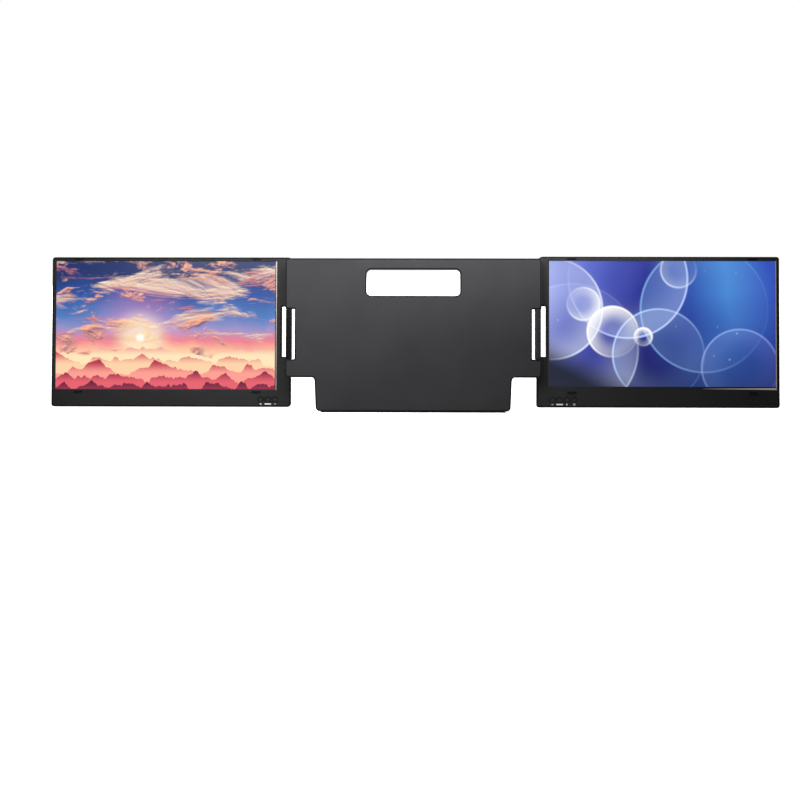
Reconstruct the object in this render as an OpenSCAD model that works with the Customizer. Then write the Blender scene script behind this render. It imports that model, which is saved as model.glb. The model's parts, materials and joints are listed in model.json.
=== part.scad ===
// Laptop screen extender: a T-shaped centre plate on a kickstand, with one
// portable screen hinged behind each side of it.
//
// Every sub-part is drawn upright: x runs to the right, y runs to the back and
// z runs up from the lower edge of the plate.  leaned() then tips the whole
// extender back onto its kickstand and stands it on the desk, at z = 0.

/* [Stance] */
// Angle that the extender leans back from upright
lean = 15; // [14:0.5:17]

/* [Centre plate] */
// Width across the shoulders
plate_w = 332.8; // [326:0.4:340]
// Height from the lower edge to the top
plate_h = 199; // [197:0.5:200]
// Thickness away from the kickstand housing
plate_t = 6; // [5.6:0.1:6.2]
// Radius of the outer corners
plate_r = 3.6; // [2:0.2:5]
// Height of the underside of the shoulders
shoulder_z = 44; // [42:0.5:45]
// Width of the lower tab at the shoulders
tab_top_w = 256.6; // [250:0.2:262]
// Width of the lower tab at its lower edge
tab_foot_w = 252.8; // [244:0.2:256]
// Width of the carrying handle opening
handle_w = 121.4; // [100:0.2:130]
// Height of the carrying handle opening
handle_h = 34.2; // [28:0.2:35]
// Height of the middle of the handle opening
handle_z = 167.4; // [166.5:0.1:168.5]
// Corner radius of the handle opening
handle_r = 5.8; // [3:0.2:9]

/* [Screens] */
// Width of the right lit picture, 13.3 inch at 16:9
active_w = 293.76; // [288:0.01:298]
// Height of the right lit picture
active_h = 165.24; // [162:0.01:168]
// Thickness of a screen
screen_t = 9; // [8.8:0.1:9.2]
// Height of a screen's lower edge above the plate's lower edge
screen_z = 5.7; // [4:0.1:7]
// Frame above the right picture
rim_top = 5.5; // [5:0.1:7]
// Frame below the right picture, where the keys are
rim_chin = 26.3; // [25.5:0.1:30]
// Frame beside the right picture, on the outer side
rim_outer = 5.2; // [5:0.1:7]
// Frame beside the right picture, on the hinge side
rim_hinge = 16.5; // [16.2:0.1:20]
// Corner radius of a screen
screen_r = 3.6; // [2:0.2:5]
// Width of the left lit picture
left_active_w = 289.2; // [287:0.2:294]
// Height of the left lit picture
left_active_h = 168.8; // [165:0.2:169]
// Frame above the left picture
left_rim_top = 5; // [5:0.1:6]
// Frame beside the left picture, on the outer side
left_rim_outer = 5; // [5:0.1:6]

/* [Hinges] */
// Distance of each plate pin from the middle of the extender
pin_x = 161.8; // [161.4:0.1:162]
// How far each screen pin lies outside its plate pin
pin_shift = 1.4; // [1.2:0.1:1.6]
// Depth of the right screen pin behind the plate pin
right_link = 10.4; // [10.2:0.1:12]
// Air between the stacked screens when both are folded in
fold_gap = 1.2; // [1.2:0.1:3]
// Lower end of the hinge notch in the plate
plate_notch_z = 67.5; // [66:0.1:68]
// Length of the hinge notch in the plate
plate_notch_h = 65.4; // [64:0.1:67]
// Lower end of the hinge notch in a screen
screen_notch_z = 71.8; // [71:0.1:72]
// Length of the hinge notch in a screen
screen_notch_h = 66.3; // [64:0.1:67]

/* [Keys] */
// Diameter of a key cap
key_d = 6.8; // [6:0.1:7]
// Distance from key to key
key_pitch = 9.45; // [9.2:0.05:11]
// Distance of the first key from the screen's hinge edge
key_first = 20.4; // [20:0.1:24]
// Height of the keys above the screen's lower edge
key_z = 9.6; // [9:0.1:11]
// How far a key can be pressed
key_travel = 0.6; // [0.3:0.1:0.6]
// Number of keys on the left screen
left_keys = 3; // [3]
// Number of keys on the right screen
right_keys = 4; // [4]

/* [Kickstand] */
// Width of the kickstand panel
stand_w = 176; // [160:2:190]
// Height of the kickstand pin above the plate's lower edge
stand_z = 140.5; // [140:0.1:141]
// Length of the kickstand from its pin to its foot
stand_leg = 139.3; // [139:0.1:139.8]

/* [Hidden] */
$fn = 64;

LEFT = -1;
RIGHT = 1;
charcoal = [0.23, 0.23, 0.235];
black_plastic = [0.15, 0.15, 0.155];
rubber = [0.08, 0.08, 0.08];
steel = [0.68, 0.69, 0.71];
screw_steel = [0.42, 0.42, 0.44];
board_green = [0.06, 0.26, 0.16];

// clearances
slack = 0.1;           // between flat faces that are assembled against each other
pin_play = 0.05;       // radial, round a pin
cut = 1;               // how far a cutting solid runs past the face it cuts

// centre plate, in layers from front (negative y) to back
half_t = plate_t / 2;
half_w = plate_w / 2;
wall = 1.6;            // rim walls of the plate's covers
skin = 1.4;            // flat faces of the plate's covers
seam_y = 0;            // parting line between the covers
front_in = -half_t + skin;
rear_in = half_t - skin;
core_y0 = front_in + slack;
core_t = 1;
core_y1 = core_y0 + core_t;
plate_notch_x = 154.15; // inner wall of the plate's hinge notch
notch_r = 1;           // corners of the hinge notches
tab_r = 5.2;           // corners at the foot of the tab
shoulder_r = 4;        // outer corners under the shoulders
throat_r = 4;          // where the shoulders meet the tab

// screws
boss_r = 2.3;
screw_r = 0.9;
screw_hole_r = screw_r + pin_play;
head_r = 1.9;
head_t = 0.85;
head_well_r = head_r + 0.15;
cover_screws = [
    [-158, 191], [158, 191], [-72, 191], [72, 191],
    [-140, 48.4], [140, 48.4], [-116, 7], [116, 7],
];

// hinges
screen_x = pin_x + pin_shift;
left_link_d = right_link + screen_t + fold_gap;
pin_r = 1.2;
barrel_r = 2.1;        // steel barrels that hold the pins
link_front_r = 4.15;   // rounded front of a link
link_back_r = 3.1;     // rounded back of a link
end_play = 0.4;        // between a link's end and its notch
washer_t = 0.3;
plate_notch_top = plate_notch_z + plate_notch_h;
screen_notch_top = screen_notch_z + screen_notch_h;
barrel_len = 15;
leaf_t = 1.2;
plate_leaf_y = -0.4;   // front face of the plate's bracket leaf
plate_leaf_x = 118;    // its inner end
plate_leaf_holes = [[126, 58], [142, 58], [126, 142], [142, 142]];

// screens, in layers from front to back
half_s = screen_t / 2;
lip = 2.3;             // how far a screen's edge reaches past its pin
screen_w = rim_hinge + active_w + rim_outer;
screen_h = rim_chin + active_h + rim_top;
edge_x0 = -lip;
edge_x1 = screen_w - lip;
edge_z0 = screen_z;
edge_z1 = screen_z + screen_h;
window_gap = 1.1;      // black border of the panel that shows in the window
case_wall = 1.3;
bezel_t = 1.5;
back_skin = 1.2;
bezel_in = -half_s + bezel_t;
back_in = half_s - back_skin;
case_seam = 0.45;      // parting line between the bezel and the rear cover
screen_notch_x = 9.9;  // wall of the screen's hinge notch
left_heel_r = 5.4;     // lower corner of the left screen, on its hinge side
right_crown_r = 8.6;   // upper corner of the right screen, on its hinge side
panel_over = 2.5;      // how far the panel reaches past the picture
panel_chin = 6.5;      // the same, at its lower edge
panel_y0 = bezel_in + slack;
panel_t = 1.4;
tray_y0 = panel_y0 + panel_t + slack;
tray_y1 = 0.9;
tray_wall = 0.4;
board_y0 = 1.65;
board_y1 = 2.45;
board_holes = [[44, 26], [104, 26], [146, 26]];
chip_sizes = [[84, 15, 98, 24.6, 0.7], [112, 16, 121, 24, 0.6]]; // x0, z0, x1, z1, height
case_bosses = [[4.6, 163], [4.6, 196], [60, 10.3], [170, 10.3], [306, 10.3]];
boss_meet_y = 2;       // where the bezel's bosses meet the rear cover's
leaf_y0 = 1.6;
leaf_screws = [[22, 64], [34, 64], [22, 144], [34, 144]];
usb_z = [15, 28];       // middles of the sockets, above the plate's lower edge
hdmi_z = 41.2;
socket_len = 7.3;
key_board_y0 = -0.2;
key_board_y1 = 0.6;
key_board_margin = 6;  // board beyond the middle of the end keys
switch_y = -1;         // front of the switches under the keys
switch_half = 2;
bumper_w = 11.8;
bumper_h = 2.6;
bumper_proud = 0.8;
bumper_xs = [edge_x0 + 45.6, edge_x1 - 35.2];
bumper_zs = [edge_z0 + 19.6, edge_z1 - 2.1];

// kickstand
stand_y = 4.1;         // the kickstand's pin, behind the middle of the plate
stand_t = 2;
stand_barrel_r = 2;
stand_pin_r = 1;
recess_y = 1.75;       // floor of the recess that the kickstand folds into
recess_floor_t = 0.95; // plastic under that floor
housing_y = 4.4;       // back of the housing round the kickstand
housing_side = 9;      // housing beside the kickstand
housing_top = 6.4;     // housing above the kickstand's pin
block_w = 15;          // each hinge block, along the pin
block_h = 9;
foot_h = 3;            // rubber on the end of the kickstand

// the plate's own rubber foot, and the desk that it stands on
foot_y0 = -0.6;
foot_y1 = 2.4;
foot_half_w = 120;
foot_under = 0.5;      // rubber below the plate's lowest edge
desk = -half_t * sin(lean) - foot_under;

// opening of the kickstand that brings its foot down to the desk
pin_up = stand_z * cos(lean) - stand_y * sin(lean);
leg_tilt = acos((pin_up - desk) / stand_leg);
stand_open = leg_tilt + lean;

// middle of the extender's footprint, which becomes y = 0
front_y = -half_t * cos(lean);
back_y = (left_link_d + half_s) * cos(lean) + edge_z1 * sin(lean);
middle_y = (front_y + back_y) / 2;

function link_d(side) = side == LEFT ? left_link_d : right_link;

// upper outer corner of a lit picture, and its size, as x and z
function picture_high(side) = side == LEFT
    ? [edge_x1 - left_rim_outer, edge_z1 - left_rim_top]
    : [edge_x1 - rim_outer, edge_z1 - rim_top];
function picture_size(side) = side == LEFT
    ? [left_active_w, left_active_h]
    : [active_w, active_h];
function picture_low(side) = picture_high(side) - picture_size(side);

// height of the desk plane under a depth y of the upright drawing
function desk_z(y) = (desk + y * sin(lean)) / cos(lean);

// ---------------------------------------------------------------- placing

module leaned() {
    translate([0, -middle_y, -desk]) rotate([-lean, 0, 0]) children();
}

module sided(side) {
    if (side == LEFT) mirror([1, 0, 0]) children();
    else children();
}

// A screen's own frame: its pin stands at x = 0, y = 0, and it runs to +x.
module at_screen(side) {
    leaned() sided(side) translate([screen_x, link_d(side), 0]) children();
}

// The kickstand's own frame is the folded one; this opens it onto the desk.
module opened() {
    leaned() translate([0, stand_y, stand_z]) rotate([stand_open, 0, 0])
        translate([0, -stand_y, -stand_z]) children();
}

// ---------------------------------------------------------------- shapes

// A flat outline in x and z, given thickness from y0 to y1.
module slab(y0, y1) {
    translate([0, y1, 0]) rotate([90, 0, 0]) linear_extrude(height = y1 - y0) children();
}

// An outline in y and z, drawn out along x.
module bar(x0, x1) {
    translate([x0, 0, 0]) rotate([90, 0, 90]) linear_extrude(height = x1 - x0) children();
}

// A box from its two corners.
module block(low, high) {
    translate(low) cube(high - low);
}

// A rectangle with round corners, from its two corners.
module rounded(x0, z0, x1, z1, r) {
    translate([x0 + r, z0]) square([x1 - x0 - 2 * r, z1 - z0]);
    translate([x0, z0 + r]) square([x1 - x0, z1 - z0 - 2 * r]);
    for (x = [x0 + r, x1 - r], z = [z0 + r, z1 - r]) translate([x, z]) circle(r);
}

// A round rod along y.
module stud(x, z, r, y0, y1) {
    translate([x, y1, z]) rotate([90, 0, 0]) cylinder(r = r, h = y1 - y0);
}

// A round rod along z.
module post(x, y, r, z0, z1) {
    translate([x, y, z0]) cylinder(r = r, h = z1 - z0);
}

// A screw whose head faces +y.
module screw(x, z, tip, seat) {
    stud(x, z, screw_r, tip, seat);
    difference() {
        stud(x, z, head_r, seat, seat + head_t);
        translate([x, seat + head_t, z]) rotate([90, 0, 0]) cross_recess();
    }
}

// The cross-shaped drive in a screw head.
module cross_recess() {
    for (turn = [0, 90]) rotate([0, 0, turn])
        translate([-head_r * 0.55, -head_r * 0.12, -cut])
            cube([head_r * 1.1, head_r * 0.24, cut + head_t * 0.6]);
}

// ---------------------------------------------------------------- centre plate

// Outline of the plate, drawn in by inset, with its notches and handle
// opening grown by the same amount.
module plate_outline(inset = 0) {
    half = half_w - inset;
    foot = tab_foot_w / 2 - inset;
    top = tab_top_w / 2 - inset;
    low = shoulder_z + inset;
    r = shoulder_r - inset;
    difference() {
        union() {
            rounded(-half, low, half, plate_h - inset, plate_r - inset / 2);
            polygon([
                [-foot + tab_r, inset], [foot - tab_r, inset], [foot, inset + tab_r],
                [top, low + cut], [-top, low + cut], [-foot, inset + tab_r],
            ]);
            for (s = [-1, 1]) translate([s * (foot - tab_r), inset + tab_r]) circle(tab_r);
            for (s = [-1, 1]) throat(s, top, low);
        }
        for (s = [-1, 1]) corner_cut(s * half, low, s, r);
        hinge_notches(inset);
        rounded(
            -handle_w / 2 - inset, handle_z - handle_h / 2 - inset,
            handle_w / 2 + inset, handle_z + handle_h / 2 + inset, handle_r + inset
        );
    }
}

// Fillet where a shoulder meets the tab.
module throat(s, x, z) {
    difference() {
        translate([s * (x - cut / 2 + throat_r / 2), z - throat_r / 2 + cut / 2])
            square([throat_r + cut, throat_r + cut], center = true);
        translate([s * (x + throat_r), z - throat_r]) circle(throat_r);
    }
}

// Rounds off a lower corner of an outline whose body lies to the left (s = 1)
// or to the right (s = -1) of it.
module corner_cut(x, z, s, r) {
    difference() {
        translate([x, z]) square([2 * r, 2 * r], center = true);
        translate([x - s * r, z + r]) circle(r);
    }
}

module hinge_notches(inset) {
    for (s = [-1, 1]) scale_x(s) rounded(
        plate_notch_x - inset, plate_notch_z - inset,
        half_w + 3 * cut, plate_notch_top + inset, notch_r
    );
}

// Mirrors a flat outline to the left where s is -1.
module scale_x(s) {
    if (s < 0) mirror([1, 0]) children();
    else children();
}

// Round openings through the notch ends, where the hinge barrels show.
module plate_barrel_room(side) {
    room = barrel_r + 0.25;
    sided(side) block(
        [pin_x - room, -room, plate_notch_z - barrel_len - 1],
        [pin_x + room, room, plate_notch_top + barrel_len + 1]
    );
}

module plate_front_cover() {
    color(charcoal) leaned() difference() {
        union() {
            difference() {
                slab(-half_t, seam_y) plate_outline();
                slab(front_in, seam_y + cut) plate_outline(wall);
            }
            for (p = cover_screws) stud(p[0], p[1], boss_r, front_in - slack, seam_y);
        }
        for (p = cover_screws) stud(p[0], p[1], screw_hole_r, front_in - 0.6, seam_y + cut);
        for (side = [LEFT, RIGHT]) plate_barrel_room(side);
    }
}

module plate_core_sheet() {
    color(steel) leaned() difference() {
        slab(core_y0, core_y1) plate_outline(wall + 0.6);
        for (p = cover_screws) stud(p[0], p[1], boss_r + 0.4, core_y0 - cut, core_y1 + cut);
        for (p = plate_leaf_screws()) stud(p[0], p[1], screw_hole_r, core_y0 - cut, core_y1 + cut);
        for (side = [LEFT, RIGHT]) plate_barrel_room(side);
    }
}

// Outline of the raised housing that the kickstand folds into.
module housing_outline() {
    half = stand_w / 2 + housing_side;
    top = stand_z + housing_top;
    difference() {
        rounded(-half, -3 * tab_r, half, top, tab_r);
        translate([-half - cut, -4 * tab_r]) square([2 * half + 2 * cut, 4 * tab_r]);
    }
}

// The recess itself, open at the lower edge of the plate.
module recess_outline() {
    half = stand_w / 2 + 1;
    rounded(-half, -4 * tab_r, half, stand_z + stand_barrel_r + 1.2, 2);
}

module plate_rear_cover() {
    color(black_plastic) leaned() difference() {
        union() {
            difference() {
                slab(seam_y + slack, half_t) plate_outline();
                difference() {
                    slab(seam_y, rear_in) plate_outline(wall);
                    slab(recess_y - recess_floor_t, half_t) housing_outline();
                }
            }
            slab(recess_y - recess_floor_t, housing_y) housing_outline();
            for (p = cover_screws) stud(p[0], p[1], boss_r, seam_y + slack, rear_in + slack);
        }
        slab(recess_y, housing_y + cut) recess_outline();
        for (p = cover_screws) {
            stud(p[0], p[1], screw_hole_r, -cut, half_t);
            stud(p[0], p[1], head_well_r, half_t - head_t - slack, half_t + cut);
        }
        for (p = block_screws()) stud(p[0], p[1], screw_hole_r, 0, half_t);
        for (side = [LEFT, RIGHT]) plate_barrel_room(side);
    }
}

module plate_cover_screws() {
    color(screw_steel) leaned() for (p = cover_screws)
        screw(p[0], p[1], front_in - 0.5, half_t - head_t - slack);
}

function plate_leaf_screws() = [
    for (side = [LEFT, RIGHT], hole = plate_leaf_holes) [side * hole[0], hole[1]]
];

// Steel leaf inside the plate, with a barrel at each end of the hinge notch.
module plate_bracket(side) {
    leaf_x = pin_x - barrel_r;
    color(steel) leaned() sided(side) difference() {
        union() {
            block(
                [plate_leaf_x, plate_leaf_y, plate_notch_z - barrel_len],
                [leaf_x + 1, plate_leaf_y + leaf_t, plate_notch_top + barrel_len]
            );
            post(pin_x, 0, barrel_r, plate_notch_z - barrel_len, plate_notch_z);
            post(pin_x, 0, barrel_r, plate_notch_top, plate_notch_top + barrel_len);
        }
        block(
            [plate_notch_x - wall - 0.4, -cut, plate_notch_z - wall],
            [leaf_x, 2 * cut, plate_notch_top + wall]
        );
        block(
            [leaf_x - cut, -2 * barrel_r, plate_notch_z],
            [pin_x + 2 * barrel_r, 2 * barrel_r, plate_notch_top]
        );
        post(pin_x, 0, pin_r + pin_play, 0, plate_h);
        for (hole = plate_leaf_holes)
            stud(hole[0], hole[1], screw_hole_r, plate_leaf_y - cut, plate_leaf_y + leaf_t + cut);
    }
}

module left_plate_bracket() plate_bracket(LEFT);
module right_plate_bracket() plate_bracket(RIGHT);

module plate_bracket_screws() {
    seat = plate_leaf_y + leaf_t;
    color(screw_steel) leaned() for (p = plate_leaf_screws()) {
        stud(p[0], p[1], screw_r, core_y0, seat);
        stud(p[0], p[1], head_r, seat, rear_in - slack);
    }
}

module plate_pin(side) {
    color(steel) leaned() sided(side) post(
        pin_x, 0, pin_r, plate_notch_z - barrel_len + 1, plate_notch_top + barrel_len - 1
    );
}

module left_plate_pin() plate_pin(LEFT);
module right_plate_pin() plate_pin(RIGHT);

module plate_foot_strip() {
    color(rubber) leaned() bar(-foot_half_w, foot_half_w) polygon([
        [foot_y0, 0], [foot_y0, desk_z(foot_y0)], [foot_y1, desk_z(foot_y1)], [foot_y1, 0],
    ]);
}

// ---------------------------------------------------------------- kickstand

block_x0 = stand_w / 2 - block_w;
block_z1 = stand_z + stand_barrel_r;
block_z0 = block_z1 - block_h;
block_screw_x = block_x0 + block_w / 2;
block_screw_z = block_z0 + 2.6;

function block_screws() = [
    for (side = [LEFT, RIGHT]) [side * block_screw_x, block_screw_z]
];

module kickstand_hinge_blocks() {
    color(screw_steel) leaned() for (side = [LEFT, RIGHT]) sided(side) difference() {
        union() {
            bar(block_x0, stand_w / 2) union() {
                translate([stand_y, stand_z]) circle(stand_barrel_r);
                translate([recess_y, stand_z - stand_barrel_r])
                    square([stand_y - recess_y, 2 * stand_barrel_r]);
            }
            block(
                [block_x0, recess_y, block_z0],
                [stand_w / 2, recess_y + leaf_t, stand_z]
            );
        }
        translate([block_x0 - cut, stand_y, stand_z]) rotate([0, 90, 0])
            cylinder(r = stand_pin_r + pin_play, h = block_w + 2 * cut);
        stud(block_screw_x, block_screw_z, screw_hole_r, recess_y - cut, housing_y);
    }
}

module kickstand_block_screws() {
    seat = recess_y + leaf_t;
    color(steel) leaned() for (p = block_screws()) {
        stud(p[0], p[1], screw_r, recess_y - recess_floor_t, seat);
        stud(p[0], p[1], head_r, seat, seat + head_t);
    }
}

module kickstand_pins() {
    color(steel) leaned() for (side = [LEFT, RIGHT]) sided(side)
        translate([block_x0 - block_w, stand_y, stand_z]) rotate([0, 90, 0])
            cylinder(r = stand_pin_r, h = 2 * block_w - 1);
}

// Height of the folded kickstand's sole under a depth y.
function sole_z(y) = stand_z - stand_leg - (y - stand_y) * tan(leg_tilt);

module kickstand_panel() {
    half = stand_w / 2;
    panel_y = stand_y - stand_t;
    low = sole_z(stand_y) + foot_h;
    gap = 0.4;
    color(charcoal) opened() difference() {
        union() {
            slab(panel_y, stand_y) difference() {
                rounded(-half, low, half, block_z0 - gap, 1);
                translate([0, low]) circle(11);
            }
            block(
                [-block_x0 + gap, panel_y, block_z0 - 2],
                [block_x0 - gap, stand_y, stand_z]
            );
            translate([-block_x0 + gap, stand_y, stand_z]) rotate([0, 90, 0])
                cylinder(r = stand_barrel_r, h = 2 * (block_x0 - gap));
        }
        for (side = [LEFT, RIGHT]) sided(side)
            translate([block_x0 - block_w - 1, stand_y, stand_z]) rotate([0, 90, 0])
                cylinder(r = stand_pin_r + pin_play, h = block_w + 2);
    }
}

module kickstand_feet() {
    panel_y = stand_y - stand_t;
    top = sole_z(stand_y) + foot_h;
    color(rubber) opened() for (side = [LEFT, RIGHT]) sided(side)
        bar(13, stand_w / 2 - 1.5) polygon([
            [panel_y, sole_z(panel_y)], [stand_y, sole_z(stand_y)],
            [stand_y, top], [panel_y, top],
        ]);
}

// ---------------------------------------------------------------- hinge links

// One link: a round front on the plate's pin, a round back on the screen's
// pin and a flat web between them.
module link(side) {
    deep = link_d(side);
    front_z0 = plate_notch_z + end_play;
    front_z1 = plate_notch_top - end_play;
    back_z0 = screen_notch_z + end_play;
    back_z1 = screen_notch_top - end_play;
    color(charcoal) leaned() sided(side) difference() {
        union() {
            post(pin_x, 0, link_front_r, front_z0, front_z1);
            post(screen_x, deep, link_back_r, back_z0, back_z1);
            translate([0, 0, back_z0]) linear_extrude(height = front_z1 - back_z0)
                polygon([
                    [pin_x - link_front_r * 0.94, link_front_r * 0.34],
                    [pin_x + link_front_r * 0.98, link_front_r * 0.2],
                    [screen_x + link_back_r * 0.99, deep - 0.3],
                    [screen_x - link_back_r * 0.97, deep - 0.6],
                ]);
        }
        post(pin_x, 0, pin_r + pin_play, 0, plate_h);
        post(screen_x, deep, pin_r + pin_play, 0, plate_h);
    }
}

module left_link() link(LEFT);
module right_link() link(RIGHT);

module screen_pin(side) {
    color(steel) at_screen(side) post(
        0, 0, pin_r, screen_notch_z - barrel_len + 1, screen_notch_top + barrel_len - 1
    );
}

module left_screen_pin() screen_pin(LEFT);
module right_screen_pin() screen_pin(RIGHT);

// Thin washers between a link's ends and the barrels beside them.
module link_washers(side) {
    edge = 0.05;
    r = 2.3;
    color(steel) leaned() sided(side) difference() {
        union() {
            for (z = [plate_notch_z + edge, plate_notch_top - edge - washer_t])
                post(pin_x, 0, r, z, z + washer_t);
            for (z = [screen_notch_z + edge, screen_notch_top - edge - washer_t])
                post(screen_x, link_d(side), r, z, z + washer_t);
        }
        post(pin_x, 0, pin_r + pin_play, 0, plate_h);
        post(screen_x, link_d(side), pin_r + pin_play, 0, plate_h);
    }
}

module left_link_washers() link_washers(LEFT);
module right_link_washers() link_washers(RIGHT);

// ---------------------------------------------------------------- screens

// Outline of a screen, drawn in by inset, with its hinge notch.
module screen_outline(side, inset = 0) {
    difference() {
        rounded(
            edge_x0 + inset, edge_z0 + inset, edge_x1 - inset, edge_z1 - inset,
            screen_r - inset
        );
        rounded(
            edge_x0 - 3 * cut, screen_notch_z - inset,
            screen_notch_x + inset, screen_notch_top + inset, notch_r
        );
        if (side == LEFT) corner_cut(edge_x0 + inset, edge_z0 + inset, -1, left_heel_r - inset);
        if (side == RIGHT) translate([0, edge_z1 - inset]) mirror([0, 1])
            corner_cut(edge_x0 + inset, 0, -1, right_crown_r - inset);
    }
}

function key_x(i) = edge_x0 + key_first + i * key_pitch;

// Room for the steel barrels, and for the bracket's neck behind them, at the
// ends of the screen's notch.
module screen_barrel_room() {
    front = -barrel_r - 0.25;
    neck_x = barrel_r + 0.4 + slack;
    neck_y = leaf_y0 + leaf_t + slack;
    for (z = [screen_notch_z - barrel_len - 1, screen_notch_top - cut])
        block([-lip - cut, front, z], [neck_x, neck_y, z + barrel_len + 1 + cut]);
}

// Outline of a socket's mouth, in y and z.
module mouth(wide, thick, z, grow = 0) {
    r = (thick + 2 * grow) / 2 - 0.02;
    x = thick / 2 + grow;
    y = wide / 2 + grow;
    translate([0, z]) rounded(-x, -y, x, y, r);
}

module socket_room() {
    for (z = usb_z) bar(edge_x0 - cut, edge_x0 + 3) mouth(8.94, 3.2, z, 0.15);
    bar(edge_x0 - cut, edge_x0 + 3) mouth(11.2, 3.4, hdmi_z, 0.15);
}

module bezel(side, keys) {
    color(black_plastic) at_screen(side) difference() {
        union() {
            difference() {
                slab(-half_s, case_seam - slack) screen_outline(side);
                slab(bezel_in, case_seam + cut) screen_outline(side, case_wall);
            }
            for (p = case_bosses) stud(p[0], p[1], boss_r, bezel_in - slack, boss_meet_y);
        }
        slab(-half_s - cut, bezel_in + cut / 2) window(side);
        for (p = case_bosses) stud(p[0], p[1], screw_hole_r, bezel_in + 0.2, boss_meet_y + cut);
        for (i = [0 : keys - 1])
            stud(key_x(i), screen_z + key_z, key_d / 2 + 0.35, -half_s - cut, bezel_in + cut);
        screen_barrel_room();
        socket_room();
    }
}

module window(side) {
    translate(picture_low(side) - [window_gap, window_gap])
        square(picture_size(side) + 2 * [window_gap, window_gap]);
}

module rear_cover(side) {
    vent_w = 1.6;
    vent_h = 9;
    vent_pitch = 4;
    vents = 18;
    vent_x = 96;
    vent_z = 34;
    tongue_in = case_wall + slack;
    tongue_t = 0.6;
    tongue_x = 12;
    color(black_plastic) at_screen(side) difference() {
        union() {
            difference() {
                slab(case_seam, half_s) screen_outline(side);
                slab(case_seam - cut, back_in) screen_outline(side, case_wall);
            }
            difference() {
                slab(case_seam - 1, back_in + slack) screen_outline(side, tongue_in);
                slab(case_seam - 2, back_in + cut) screen_outline(side, tongue_in + tongue_t);
                block([-lip, -half_s, 0], [tongue_x, half_s, plate_h]);
            }
            for (p = case_bosses) stud(p[0], p[1], boss_r + 0.8, boss_meet_y + slack, back_in + slack);
            for (p = leaf_screws) stud(p[0], p[1], boss_r, leaf_y0 + leaf_t, back_in + slack);
        }
        for (p = case_bosses) {
            stud(p[0], p[1], screw_hole_r, 0, half_s);
            stud(p[0], p[1], head_well_r, half_s - head_t - slack, half_s + cut);
        }
        for (p = leaf_screws) stud(p[0], p[1], screw_hole_r, 0, half_s - 0.5);
        for (i = [0 : vents - 1], row = [0, 1]) slab(back_in - cut, half_s + cut)
            translate([vent_x + i * vent_pitch, vent_z + row * 14])
                rounded(0, 0, vent_w, vent_h, vent_w / 2 - 0.02);
        screen_barrel_room();
        socket_room();
    }
}

module panel_box(side, y0, y1, grow = 0) {
    low = picture_low(side);
    high = picture_high(side);
    block(
        [low[0] - panel_over - grow, y0, low[1] - panel_chin - grow],
        [high[0] + panel_over + grow, y1, high[1] + panel_over + grow]
    );
}

module display_panel(side) {
    color("black") at_screen(side) panel_box(side, panel_y0, panel_y0 + panel_t);
}

module light_guide(side) {
    color([0.9, 0.93, 0.95]) at_screen(side)
        panel_box(side, tray_y0, tray_y1 - tray_wall - slack, -tray_wall - 0.2);
}

module backlight_tray(side) {
    color(steel) at_screen(side) difference() {
        panel_box(side, tray_y0, tray_y1);
        panel_box(side, tray_y0 - cut, tray_y1 - tray_wall, -tray_wall);
    }
}

module controller_board(side) {
    color(board_green) at_screen(side) {
        difference() {
            union() {
                block([-0.9, board_y0, 11], [11, board_y1, 48]);
                block([5, board_y0, 14], [150, board_y1, 30]);
            }
            for (p = board_holes) stud(p[0], p[1], 1.2, board_y0 - cut, board_y1 + cut);
        }
        for (c = chip_sizes) block([c[0], board_y0 - c[4], c[1]], [c[2], board_y0, c[3]]);
        for (x = [126 : 4 : 142]) block([x, board_y0 - 0.5, 17], [x + 2, board_y0, 21]);
    }
}

// One socket: a shell with its mouth in the screen's side, and the tongue.
module socket(wide, thick, z, long) {
    difference() {
        bar(edge_x0 + 0.1, edge_x0 + long) mouth(wide, thick, z);
        bar(edge_x0 - cut, edge_x0 + long - 0.8) mouth(wide, thick, z, -0.35);
    }
    block(
        [edge_x0 + 1.2, -0.35, z - wide / 2 + 1.3],
        [edge_x0 + long - 0.5, 0.35, z + wide / 2 - 1.3]
    );
}

module usb_sockets(side) {
    color(steel) at_screen(side) for (z = usb_z) socket(8.94, 3.2, z, socket_len);
}

module hdmi_socket(side) {
    color(steel) at_screen(side) socket(11.2, 3.2, hdmi_z, socket_len);
}

module key_board(side, keys) {
    z = screen_z + key_z;
    x0 = key_x(0) - key_board_margin;
    x1 = key_x(keys - 1) + key_board_margin;
    color(board_green) at_screen(side) {
        block([x0, key_board_y0, z - key_board_margin + 1], [x1, key_board_y1, z + key_board_margin - 1]);
        for (i = [0 : keys - 1]) block(
            [key_x(i) - switch_half, switch_y, z - switch_half],
            [key_x(i) + switch_half, key_board_y0, z + switch_half]
        );
    }
}

// Flat flexible lead from the panel's lower edge to the controller board.
module display_ribbon(side) {
    thick = 0.15;
    low = picture_low(side)[1] - panel_chin;
    color([0.75, 0.5, 0.2]) at_screen(side) bar(52, 72) polygon([
        [panel_y0 + 0.4, low], [panel_y0 + 0.4, low - 3], [board_y0 - slack, low - 3],
        [board_y0 - slack, low - 3 + thick], [panel_y0 + 0.4 + thick, low - 3 + thick],
        [panel_y0 + 0.4 + thick, low],
    ]);
}

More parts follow.
